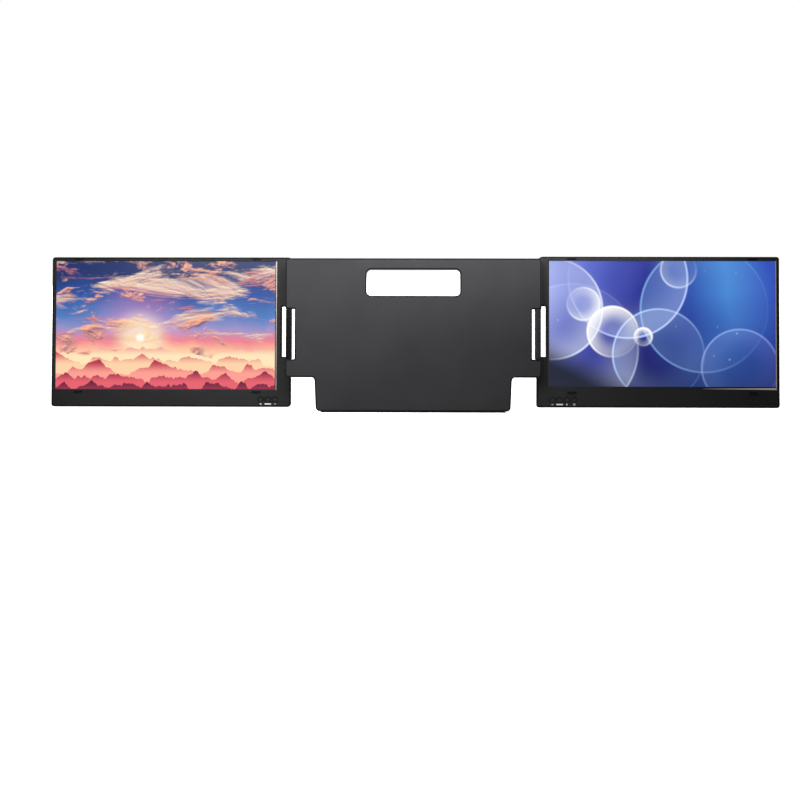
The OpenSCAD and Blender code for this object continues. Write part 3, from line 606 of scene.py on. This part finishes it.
# %% The sky and its clouds
dusk_picture, tree, shader, spot = start_picture("lit_film_dusk_ridges", "left")
place = add_node(tree, "SeparateXYZ", {"Vector": spot})
drift = add_node(tree, "TexNoise", {"Vector": spot, "Scale": 2.2, "Detail": 4})
wavy_height = add_node(tree, "Math", {0: drift, 1: 0.22, 2: place.outputs["Y"]}, operation="MULTIPLY_ADD")
sky_colour = add_node(tree, "ValToRGB", {"Fac": wavy_height})
set_stops(sky_colour, [
    (0.28, "fff2c4"), (0.40, "ffc7a0"), (0.49, "f0808c"), (0.58, "9a90c6"),
    (0.68, "4f7cc0"), (0.84, "2450a0"), (1.0, "0f2a68"),
])

SUN = (0.66, 0.40, 0)
SUN_STEP = 0.03
CLOUD_LAYERS = (
    {"turn": 0.16, "flat": 3.4, "size": 1.5, "thin": 0.52, "full": 0.62, "dark": "b0788e", "lit": "ffe9c8"},
    {"turn": -0.24, "flat": 2.2, "size": 3.1, "thin": 0.53, "full": 0.62, "dark": "7d5578", "lit": "ffb593"},
    {"turn": 0.08, "flat": 6.0, "size": 1.9, "thin": 0.55, "full": 0.66, "dark": "4a3558", "lit": "f58f92"},
)
for layer in CLOUD_LAYERS:
    densities = []
    for toward_sun in (0, SUN_STEP):
        lay = add_node(
            tree, "Mapping",
            {"Vector": spot, "Location": (0, toward_sun, layer["size"]),
             "Rotation": (0, 0, layer["turn"]), "Scale": (1, layer["flat"], 1)},
        )
        densities.append(add_node(
            tree, "TexNoise",
            {"Vector": lay, "Scale": layer["size"], "Detail": 9, "Roughness": 0.6, "Distortion": 0.5},
        ))
    cover = add_node(
        tree, "MapRange",
        {"Value": densities[0], "From Min": layer["thin"], "From Max": layer["full"]},
        interpolation_type="SMOOTHSTEP",
    )
    slope = add_node(tree, "Math", {0: densities[0], 1: densities[1]}, operation="SUBTRACT")
    lit = add_node(tree, "MapRange", {"Value": slope, "From Min": -0.05, "From Max": 0.06})
    cloud = add_node(tree, "Mix", {0: lit, MIX_A: layer["dark"], MIX_B: layer["lit"]}, data_type="RGBA")
    sky_colour = add_node(tree, "Mix", {0: cover, MIX_A: sky_colour, MIX_B: cloud}, data_type="RGBA")
print("cloud layers:", len(CLOUD_LAYERS))

# %% [markdown]
# The sun is a distance from one spot, turned into a small disc inside two wide glows that lighten the
# sky. A ridge is a height that wanders with a one-dimensional noise. Everything below that height is the
# ridge's colour, which pales towards its foot, as a level bank of mist fills the valley in front of it.

# %% The sun and the ridges
from_sun = add_node(tree, "VectorMath", {0: spot, 1: SUN}, operation="DISTANCE")
GLOWS = ((0.55, "ff6a50", 0.3), (0.28, "ffdc98", 0.8), (0.05, "fffbe8", 1))
GLOW_CORE = 0.2
for reach, colour, strength in GLOWS:
    glow = add_node(
        tree, "MapRange",
        {"Value": from_sun, "From Min": reach * GLOW_CORE, "From Max": reach,
         "To Min": strength, "To Max": 0},
        interpolation_type="SMOOTHERSTEP",
    )
    sky_colour = add_node(
        tree, "Mix", {0: glow, MIX_A: sky_colour, MIX_B: colour}, data_type="RGBA", blend_type="SCREEN",
    )

RIDGES = (
    {"base": 0.30, "rise": 0.15, "pace": 2.1, "seed": 3.1, "crest": "ec8f94", "foot": "ffe6ba"},
    {"base": 0.235, "rise": 0.15, "pace": 2.9, "seed": 7.7, "crest": "d9596a", "foot": "ffd3a8"},
    {"base": 0.165, "rise": 0.13, "pace": 3.8, "seed": 12.4, "crest": "b8314e", "foot": "ff9f92"},
    {"base": 0.095, "rise": 0.11, "pace": 5.2, "seed": 18.9, "crest": "84203f", "foot": "e8606e"},
    {"base": 0.03, "rise": 0.09, "pace": 7.5, "seed": 25.3, "crest": "40152f", "foot": "a02c4c"},
)
MIST_DEPTH = 0.1
CREST_SOFTNESS = 0.004
for ridge in RIDGES:
    along = add_node(
        tree, "Math",
        {0: place.outputs["X"], 1: ridge["pace"], 2: ridge["seed"]}, operation="MULTIPLY_ADD",
    )
    skyline = add_node(
        tree, "TexNoise", {"W": along, "Scale": 1, "Detail": 7, "Roughness": 0.55}, noise_dimensions="1D",
    )
    crest = add_node(
        tree, "Math",
        {0: skyline, 1: ridge["rise"] * 2, 2: ridge["base"] - ridge["rise"]},
        operation="MULTIPLY_ADD",
    )
    below = add_node(tree, "Math", {0: crest, 1: place.outputs["Y"]}, operation="SUBTRACT")
    inside = add_node(tree, "MapRange", {"Value": below, "From Min": 0, "From Max": CREST_SOFTNESS})
    mist = add_node(
        tree, "MapRange",
        {"Value": place.outputs["Y"], "From Min": ridge["base"] + MIST_DEPTH / 2,
         "From Max": ridge["base"] - MIST_DEPTH / 2},
        interpolation_type="SMOOTHSTEP",
    )
    slope_tone = add_node(
        tree, "Mix", {0: mist, MIX_A: ridge["crest"], MIX_B: ridge["foot"]}, data_type="RGBA",
    )
    sky_colour = add_node(tree, "Mix", {0: inside, MIX_A: sky_colour, MIX_B: slope_tone}, data_type="RGBA")
fill(tree, shader, {"Emission Color": sky_colour})
print("ridges:", len(RIDGES))

# %% [markdown]
# ## The right picture: glass discs on blue
#
# A gradient of blues, dark in one corner, lies behind ten clear discs of several sizes. Clear glass shows
# mostly at its rim, so each disc adds a wide faint veil and a thin bright line that is strongest on one
# side. The brightest places come where rims cross, and a scatter of soft specks fills the gaps.

# %% The blue ground
disc_picture, tree, shader, spot = start_picture("lit_film_glass_discs", "right")
place = add_node(tree, "SeparateXYZ", {"Vector": spot})
bend = add_node(tree, "TexNoise", {"Vector": spot, "Scale": 1.3, "Detail": 1})
across = add_node(tree, "Math", {0: bend, 1: 0.5, 2: place.outputs["X"]}, operation="MULTIPLY_ADD")
ground_place = add_node(
    tree, "MapRange", {"Value": across, "From Min": 0.25, "From Max": shapes["right"] + 0.25},
)
ground = add_node(tree, "ValToRGB", {"Fac": ground_place})
set_stops(ground, [
    (0.0, "9dabec"), (0.18, "5564cc"), (0.4, "202b92"), (0.6, "2650ae"), (0.78, "4386d4"), (1.0, "2a4cb8"),
])
sink = add_node(tree, "ValToRGB", {"Fac": place.outputs["Y"]})
set_stops(sink, [(0.0, "3a3c7a"), (0.35, "8d90c4"), (0.75, "ffffff"), (1.0, "ffffff")])
glass_colour = add_node(
    tree, "Mix", {0: 0.85, MIX_A: ground, MIX_B: sink}, data_type="RGBA", blend_type="MULTIPLY",
)
print("blue ground ready")

# %% The discs
DISCS = (
    {"at": (0.18, 0.30), "reach": 0.52, "veil": 0.55, "rim": 1.0, "glint": (-0.6, -0.9), "tint": "cdd6f4"},
    {"at": (0.62, 0.86), "reach": 0.47, "veil": 0.30, "rim": 0.9, "glint": (0.8, -0.9), "tint": "b4c4ff"},
    {"at": (0.86, 0.26), "reach": 0.36, "veil": 0.24, "rim": 0.8, "glint": (-0.9, 0.6), "tint": "a9c8ff"},
    {"at": (1.22, 0.62), "reach": 0.50, "veil": 0.16, "rim": 0.55, "glint": (-1.0, 0.2), "tint": "8fc0ff"},
    {"at": (0.50, 0.44), "reach": 0.20, "veil": 0.95, "rim": 1.0, "glint": (-0.7, 0.8), "tint": "ffffff"},
    {"at": (0.27, 0.66), "reach": 0.13, "veil": 0.85, "rim": 1.0, "glint": (0.8, -0.4), "tint": "e6ecff"},
    {"at": (0.02, 0.62), "reach": 0.40, "veil": 0.45, "rim": 0.8, "glint": (0.9, -0.6), "tint": "d9e0fa"},
    {"at": (0.74, 0.40), "reach": 0.07, "veil": 0.80, "rim": 1.0, "glint": (0.2, 0.9), "tint": "ffffff"},
    {"at": (1.50, 0.16), "reach": 0.30, "veil": 0.12, "rim": 0.5, "glint": (-0.4, 0.9), "tint": "9db4ff"},
    {"at": (1.02, 0.93), "reach": 0.14, "veil": 0.22, "rim": 0.6, "glint": (-0.7, -0.7), "tint": "d5e2ff"},
)
RIM_WIDTH = 0.014
VEIL_START = 0.25
for disc in DISCS:
    centre = (*disc["at"], 0)
    away = add_node(tree, "VectorMath", {0: spot, 1: centre}, operation="DISTANCE")
    offset = add_node(tree, "VectorMath", {0: spot, 1: centre}, operation="SUBTRACT")
    facing = add_node(tree, "VectorMath", {0: offset, 1: (*disc["glint"], 0)}, operation="DOT_PRODUCT")
    side_light = add_node(
        tree, "MapRange",
        {"Value": facing, "From Min": -disc["reach"], "From Max": disc["reach"],
         "To Min": 0.08, "To Max": 1},
    )
    veil = add_node(
        tree, "MapRange",
        {"Value": away, "From Min": disc["reach"] * VEIL_START, "From Max": disc["reach"],
         "To Max": disc["veil"]},
        interpolation_type="SMOOTHSTEP",
    )
    inside = add_node(tree, "Math", {0: away, 1: disc["reach"]}, operation="LESS_THAN")
    veil_in = add_node(tree, "Math", {0: veil, 1: inside}, operation="MULTIPLY")
    off_rim = add_node(tree, "Math", {0: away, 1: disc["reach"]}, operation="SUBTRACT")
    off_size = add_node(tree, "Math", {0: off_rim}, operation="ABSOLUTE")
    rim = add_node(
        tree, "MapRange",
        {"Value": off_size, "From Min": 0, "From Max": RIM_WIDTH,
         "To Min": disc["rim"], "To Max": 0},
        interpolation_type="SMOOTHERSTEP",
    )
    both = add_node(tree, "Math", {0: veil_in, 1: rim}, operation="ADD")
    light = add_node(tree, "Math", {0: both, 1: side_light}, operation="MULTIPLY", use_clamp=True)
    glass_colour = add_node(
        tree, "Mix",
        {0: light, MIX_A: glass_colour, MIX_B: disc["tint"]},
        data_type="RGBA", blend_type="SCREEN",
    )
print("discs:", len(DISCS))

# %% Specks and the dark corner
cells = add_node(tree, "TexVoronoi", {"Vector": spot, "Scale": 11, "Randomness": 1})
speck = add_node(
    tree, "MapRange",
    {"Value": cells, "From Min": 0.02, "From Max": 0.16, "To Min": 0.7, "To Max": 0},
    interpolation_type="SMOOTHERSTEP",
)
patch = add_node(tree, "TexNoise", {"Vector": spot, "Scale": 2.4})
where = add_node(tree, "MapRange", {"Value": patch, "From Min": 0.52, "From Max": 0.66})
speck_light = add_node(tree, "Math", {0: speck, 1: where}, operation="MULTIPLY")
with_specks = add_node(
    tree, "Mix",
    {0: speck_light, MIX_A: glass_colour, MIX_B: "dfe8ff"},
    data_type="RGBA", blend_type="SCREEN",
)
corner_way = add_node(tree, "VectorMath", {0: spot, 1: (0.5, 1, 0)}, operation="DOT_PRODUCT")
corner = add_node(
    tree, "MapRange",
    {"Value": corner_way, "From Min": 0.16, "From Max": 0.42, "To Min": 0.96, "To Max": 0},
    interpolation_type="SMOOTHSTEP",
)
darkened = add_node(tree, "Mix", {0: corner, MIX_A: with_specks, MIX_B: "0b1326"}, data_type="RGBA")
fill(tree, shader, {"Emission Color": darkened})
print("specks and corner ready")

# %% [markdown]
# ## The films themselves
#
# Each picture is a film a tenth of a millimetre thick on the front of the display panel. Its front face
# is given UVs that run from 0 to 1 across the picture, which is what the picture materials read.

# %% Make the lit films
FILM_GAP = 0.02
FILM_THICKNESS = 0.1


def lay_uvs(bm, low, high):
    """UVs from the place of each vertex within the picture."""
    uv_layer = bm.loops.layers.uv.new("picture")
    for face in bm.faces:
        for loop in face.loops:
            u = (loop.vert.co.x - low.x) / (high.x - low.x)
            v = (loop.vert.co.z - low.z) / (high.z - low.z)
            loop[uv_layer].uv = (u, v)


for side, material in zip(SIDES, (dusk_picture, disc_picture)):
    low, high = pictures[side]
    back = low.y - FILM_GAP
    bm = bmesh.new()
    stack_rings(bm, [rectangle(low, high, 0, back), rectangle(low, high, 0, back - FILM_THICKNESS)])
    lay_uvs(bm, low, high)
    film = close_piece(side + "_picture", bm, side + "_screen", material)
    print(film.name, "faces:", len(film.data.polygons))

# %% [markdown]
# ## Window trims
#
# Along the top of each window a slim bar closes the gap between the bezel and the picture, so the bezel's
# grey runs right up to it. At the sides, and at the foot of the left one, the black border of the panel
# shows instead. On the right of each window a thin pale lip is a painted highlight: a fine warm line of
# light, drawn as a strip of pale metal. The left screen wears it on the bezel, just outside the black
# border, and on the right screen it fills the gap.

# %% Make the trims
TRIM_SLACK = 0.05
LIP_WIDTH = 1.1
LIP_PROUD = 0.06
BAR_SUNK = 0.02
BAR_CLEAR = 0.06
GLASS_GAP = 0.005
LIP_FROM = {"left": 1.4, "right": 0.1}
# A pale metal, used as a painted highlight along the window edges.
warm_painted_highlight_lip = worked_metal("warm_painted_highlight_lip", "857b77", "a09691", 0.5, (0.4, 0.4, 30), 0.01)


def brick(bm, low, high):
    """A closed box between two corners."""
    low, high = Vector(low), Vector(high)
    stack_rings(bm, [rectangle(low, high, 0, low.y), rectangle(low, high, 0, high.y)])


for side in SIDES:
    low, high = pictures[side]
    face = board_box(side + "_bezel")[0].y
    reach = WINDOW_GAP - TRIM_SLACK
    back = low.y - GLASS_GAP
    bm = bmesh.new()
    brick(bm, (low.x - reach, face + BAR_SUNK, high.z + BAR_CLEAR), (high.x + reach, back, high.z + reach))
    bar = close_piece(side + "_window_bar", bm, side + "_screen", abs_black_bezel)
    # The pale lip on the right of the window is a painted highlight.
    bm = bmesh.new()
    lip_x = high.x + LIP_FROM[side]
    lip_back = face + LIP_PROUD if LIP_FROM[side] > WINDOW_GAP else back
    brick(
        bm, (lip_x, face - LIP_PROUD, low.z - WINDOW_GAP + TRIM_SLACK),
        (lip_x + LIP_WIDTH, lip_back, high.z),
    )
    lip = close_piece(side + "_window_highlight_lip", bm, side + "_screen", warm_painted_highlight_lip)
    print(bar.name, "and", lip.name, "at depth", round(face, 2))

# %% [markdown]
# ## Foot of the right window
#
# Along the foot of the right window a black sill hides the lowest strip of the panel. Below it lies the same
# painted highlight as at the side, a pale sliver that widens towards the outer corner. A prism with four
# unequal corners draws it.

# %% Make the foot of the right window
SILL_RISE = 1.0
FOOT_LIP_FROM = 376
FOOT_LIP_ROOT = 0.1
FOOT_LIP_LOW = -2.9
FOOT_LIP_HIGH = -0.4
SILL_GAP = 0.01
low, high = pictures["right"]
face = board_box("right_bezel")[0].y
reach = WINDOW_GAP - TRIM_SLACK
sill_back = low.y - FILM_GAP - FILM_THICKNESS - SILL_GAP
bm = bmesh.new()
brick(bm, (low.x - reach, face + BAR_SUNK, low.z - reach), (high.x, sill_back, low.z + SILL_RISE))
sill = close_piece("right_window_sill", bm, "right_screen", abs_black_bezel)
foot_middle = low.z + (FOOT_LIP_LOW + FOOT_LIP_HIGH) / 2
foot_end = high.x + LIP_FROM["right"] + LIP_WIDTH
foot_lip_corners = (
    (FOOT_LIP_FROM, foot_middle - FOOT_LIP_ROOT), (foot_end, low.z + FOOT_LIP_LOW),
    (foot_end, low.z + FOOT_LIP_HIGH), (FOOT_LIP_FROM, foot_middle + FOOT_LIP_ROOT),
)
# The pale sliver below the sill is a painted highlight.
bm = bmesh.new()
stack_rings(bm, [
    [(x, depth, z) for x, z in foot_lip_corners] for depth in (face - LIP_PROUD, face + LIP_PROUD)
])
foot_lip = close_piece("right_foot_highlight_lip", bm, "right_screen", warm_painted_highlight_lip)
print(sill.name, "and", foot_lip.name, "end at", round(foot_end, 1))

# %% [markdown]
# ## Painted edge shade
#
# The flat part of the painted shade band, inside the rounding of the edge, is drawn as a nearly black film
# of its own: painted shade along the edges. The outlines of a front face are found in the CAD mesh, where a
# flat face ends, and walked round with the face on their left. The faces are gone through in the order of
# the mesh, because a set has no fixed order, and the bands would be stored differently from run to run. A
# ring is then moved towards the face by sliding each corner along the line that halves it. No shade is
# painted round the windows or round the small holes for the keys.

# %% Draw the painted edge shade
BAND_FROM = 0.55
BAND_TO = 1.9
BAND_PROUD = 0.01
BAND_SUNK = 0.03
SMALL_HOLE = 10
FLAT_WITHIN = 0.01
WIDTH_MATCH = 0.5


def front_outlines(node):
    """Depth of a node's front face, and its outlines as rings of x and z."""
    bm = bmesh.new()
    bm.from_mesh(nodes[node].data)
    bm.transform(TO_BOARD)
    bmesh.ops.remove_doubles(bm, verts=bm.verts, dist=WELD_MM)
    front = min(v.co.y for v in bm.verts)
    flat = [face for face in bm.faces if all(v.co.y < front + FLAT_WITHIN for v in face.verts)]
    is_flat = set(flat)
    onward = {}
    for face in flat:
        for loop in face.loops:
            if len(is_flat.intersection(loop.edge.link_faces)) == 1:
                onward[loop.vert] = loop.link_loop_next.vert
    rings = []
    while onward:
        first, following = onward.popitem()
        ring = [first]
        while following in onward:
            ring.append(following)
            following = onward.pop(following)
        rings.append([Vector((v.co.x, v.co.z)) for v in ring])
    bm.free()
    return front, rings


def moved_in(ring, distance):
    """The ring, moved by a distance towards the face on its left."""
    moved = []
    for before, here, after in zip(ring[-1:] + ring[:-1], ring, ring[1:] + ring[:1]):
        first = Vector((before.y - here.y, here.x - before.x)).normalized()
        second = Vector((here.y - after.y, after.x - here.x)).normalized()
        moved.append(here + (first + second) * distance / (1 + first.dot(second)))
    return moved


def draw_band(node, body):
    """Lays a band of painted shade round the outlines of a front face."""
    front, rings = front_outlines(node)
    windows = [high.x - low.x + 2 * WINDOW_GAP for low, high in pictures.values()]
    bm = bmesh.new()
    drawn = 0
    for ring in rings:
        wide = max(p.x for p in ring) - min(p.x for p in ring)
        if wide < SMALL_HOLE or any(abs(wide - window) < WIDTH_MATCH for window in windows):
            continue
        outer, inner = moved_in(ring, BAND_FROM), moved_in(ring, BAND_TO)
        top, bottom = front - BAND_PROUD, front + BAND_SUNK
        stack_rings(bm, [
            [(p.x, y, p.y) for p in line]
            for line, y in ((outer, top), (outer, bottom), (inner, bottom), (inner, top))
        ], closed=True)
        drawn += 1
    band = close_piece(node + "_band", bm, body, abs_painted_edge_shade)
    print(band.name, "outlines:", len(rings), "drawn:", drawn)


# Painted edge shade round the plate and both bezels.
draw_band("plate_front_cover", "plate")
for side in SIDES:
    draw_band(side + "_bezel", side + "_screen")

# %% [markdown]
# ## Marks under the keys
#
# Pad-printed white ink under the keys says what each one does. The marks here are plain shapes and no
# letters: a dash, a bar, a dot and a ring, starting from the hinge. Pad-printed ink stands about three
# hundredths of a millimetre proud, and its edge lets a little of the plastic through.

# %% Ink
pad_printed_ink, tree, shader, coords = start_material("pad_printed_ink")
ink_film = add_node(tree, "TexNoise", {"Vector": coords, "Scale": per_metre(0.3), "Detail": 2})
ink_tone = add_node(tree, "Mix", {0: ink_film, MIX_A: "e4e0dc", MIX_B: "fbf9f7"}, data_type="RGBA")
fill(tree, shader, {"Base Color": ink_tone, "Roughness": 0.5, "IOR": 1.5})
print("ink:", pad_printed_ink.name)

# %% Print the marks
INK_PROUD = 0.03
INK_SUNK = 0.02
MARK_ABOVE_EDGE = 3.9
MARK_SIZES = {"dash": (2.6, 0.7), "bar": (8.9, 1.8), "dot": (2.1, 2.1), "ring": (2.6, 2.6)}
RING_LINE = 0.5
MARKS = {"left": ("dash", "bar", "dot"), "right": ("dash", "bar", "dot", "ring")}
ROUND_POINTS = 24


def lozenge(x, y, z, wide, tall):
    """Points of an outline with round ends: a bar, or a circle if it is as wide as it is tall."""
    points = []
    for i in range(ROUND_POINTS):
        angle = 2 * math.pi * (i + 0.5) / ROUND_POINTS
        shift = math.copysign((wide - tall) / 2, math.cos(angle))
        points.append((x + shift + tall / 2 * math.cos(angle), y, z + tall / 2 * math.sin(angle)))
    return points


for side in SIDES:
    edge = board_box(side + "_bezel")[0]
    bm = bmesh.new()
    for number, mark in enumerate(MARKS[side], start=1):
        low, high = board_box(f"{side}_key_{number}")
        x, z = (low.x + high.x) / 2, edge.z + MARK_ABOVE_EDGE
        wide, tall = MARK_SIZES[mark]
        front, back = edge.y - INK_PROUD, edge.y + INK_SUNK
        rings = [lozenge(x, front, z, wide, tall), lozenge(x, back, z, wide, tall)]
        if mark == "ring":
            hole = wide - 2 * RING_LINE
            rings += [lozenge(x, back, z, hole, hole), lozenge(x, front, z, hole, hole)]
        stack_rings(bm, rings, closed=mark == "ring")
    marks = close_piece(side + "_key_marks", bm, side + "_screen", pad_printed_ink)
    print(marks.name, "marks:", len(MARKS[side]))

# %% [markdown]
# ## Contacts in the sockets
#
# Look into a socket and the first thing that glints is the row of gold-plated contacts on its tongue.
# They are tiny bars, set into both faces of the tongue, and a loop lays them out from the box of the
# socket's shell.

# %% Lay out the contacts
SOCKETS = (
    {"node": "_usb_sockets", "width": 8.94, "tongue": 6.34, "contacts": 9},
    {"node": "_hdmi_socket", "width": 11.2, "tongue": 8.6, "contacts": 10},
)
CONTACT_REACH = (1.5, 4.2)
CONTACT_SHARE = 0.45
TONGUE_HALF = 0.35
CONTACT_PROUD = 0.02
CONTACT_SUNK = 0.05

for side, inward in zip(SIDES, (-1, 1)):
    bm = bmesh.new()
    for socket in SOCKETS:
        low, high = board_box(side + socket["node"])
        middle_y = (low.y + high.y) / 2
        mouth = low.x if inward == 1 else high.x
        xs = sorted(mouth + inward * reach for reach in CONTACT_REACH)
        pitch = socket["tongue"] / socket["contacts"]
        middles = {round(low.z + socket["width"] / 2, 3), round(high.z - socket["width"] / 2, 3)}
        for middle_z in sorted(middles):
            for i in range(socket["contacts"]):
                z = middle_z + (i + 0.5) * pitch - socket["tongue"] / 2
                half = pitch * CONTACT_SHARE / 2
                for face in (-1, 1):
                    ys = sorted(
                        middle_y + face * (TONGUE_HALF + depth) for depth in (CONTACT_PROUD, -CONTACT_SUNK)
                    )
                    brick(bm, (xs[0], ys[0], z - half), (xs[1], ys[1], z + half))
    contacts = close_piece(
        side + "_socket_contacts", bm, side + "_screen", gold_contact_plating,
    )
    print(contacts.name, "faces:", len(contacts.data.polygons))

# %% [markdown]
# ## Studio
#
# The floor is seamless white paper that runs back out of sight. Seen by the camera it glows just enough
# to merge with the white behind it, while the shadow under the object stays. To the light that bounces on
# to the object it is grey, and so is the world, because white surroundings would wash out the black
# plastic. The camera, reflections and glass see both as white.

# %% Paper floor
PAPER_BOUNCE = "8c8c8c"
white_paper, tree, shader, coords = start_material("white_seamless_paper")
fibres = add_node(tree, "TexNoise", {"Vector": coords, "Scale": per_metre(2), "Detail": 5})
paper_tone = add_node(tree, "Mix", {0: fibres, MIX_A: "f3f3f3", MIX_B: "fbfbfb"}, data_type="RGBA")
seen = add_node(tree, "LightPath")
lift = add_node(tree, "MapRange", {"Value": seen.outputs["Is Camera Ray"], "To Min": 0, "To Max": 0.92})
paper_seen = add_node(
    tree, "Mix",
    {0: seen.outputs["Is Diffuse Ray"], MIX_A: paper_tone, MIX_B: PAPER_BOUNCE},
    data_type="RGBA",
)
fill(tree, shader, {
    "Base Color": paper_seen, "Emission Strength": lift, "Emission Color": (1, 1, 1, 1), "Roughness": 0.9,
    "Specular IOR Level": 0.1,
})

FLOOR_HALF = 4
bm = bmesh.new()
bmesh.ops.create_grid(bm, x_segments=1, y_segments=1, size=FLOOR_HALF)
floor_mesh = bpy.data.meshes.new("paper_floor")
bm.to_mesh(floor_mesh)
bm.free()
floor_mesh.materials.append(white_paper)
floor = add_to_scene("paper_floor", floor_mesh)
print("floor is", FLOOR_HALF * 2, "m across")

# %% [markdown]
# The main light is a long softbox that hangs just above and in front of the extender, so close that the
# plate and the screens fade from top to bottom. One behind opens up the back.

# %% World and lights
SKY_LIGHT = 0.05
world = bpy.data.worlds.new("white_studio")
bpy.context.scene.world = world
world.use_nodes = True
tree = world.node_tree
background = tree.nodes["Background"]
rays = add_node(tree, "LightPath")
open_rays = add_node(
    tree, "Math",
    {0: rays.outputs["Is Camera Ray"], 1: rays.outputs["Is Glossy Ray"]}, operation="MAXIMUM",
)
white_rays = add_node(
    tree, "Math", {0: open_rays, 1: rays.outputs["Is Transmission Ray"]}, operation="MAXIMUM",
)
level = add_node(tree, "MapRange", {"Value": white_rays, "To Min": SKY_LIGHT, "To Max": 1})
fill(tree, background, {"Color": (1, 1, 1, 1), "Strength": level})

SOFTBOXES = (
    {"name": "key_softbox", "at": (0.026, -0.07, 0.318), "size": (0.96, 0.15), "watts": 3.5},
    {"name": "back_softbox", "at": (-0.35, 1.2, 0.45), "size": (1.4, 0.6), "watts": 26},
)
LIGHT_TARGET = Vector((0, 0, 0.12))
for box in SOFTBOXES:
    lamp = bpy.data.lights.new(box["name"], "AREA")
    lamp.shape = "RECTANGLE"
    lamp.size, lamp.size_y = box["size"]
    lamp.energy = box["watts"]
    holder = add_to_scene(box["name"], lamp)
    holder.visible_camera = False
    at = Vector(box["at"])
    turn = (LIGHT_TARGET - at).to_track_quat("-Z", "Y").to_matrix().to_4x4()
    holder.matrix_world = Matrix.Translation(at) @ turn
bpy.context.scene.view_settings.view_transform = "Standard"
print("softboxes:", ", ".join(box["name"] for box in SOFTBOXES))
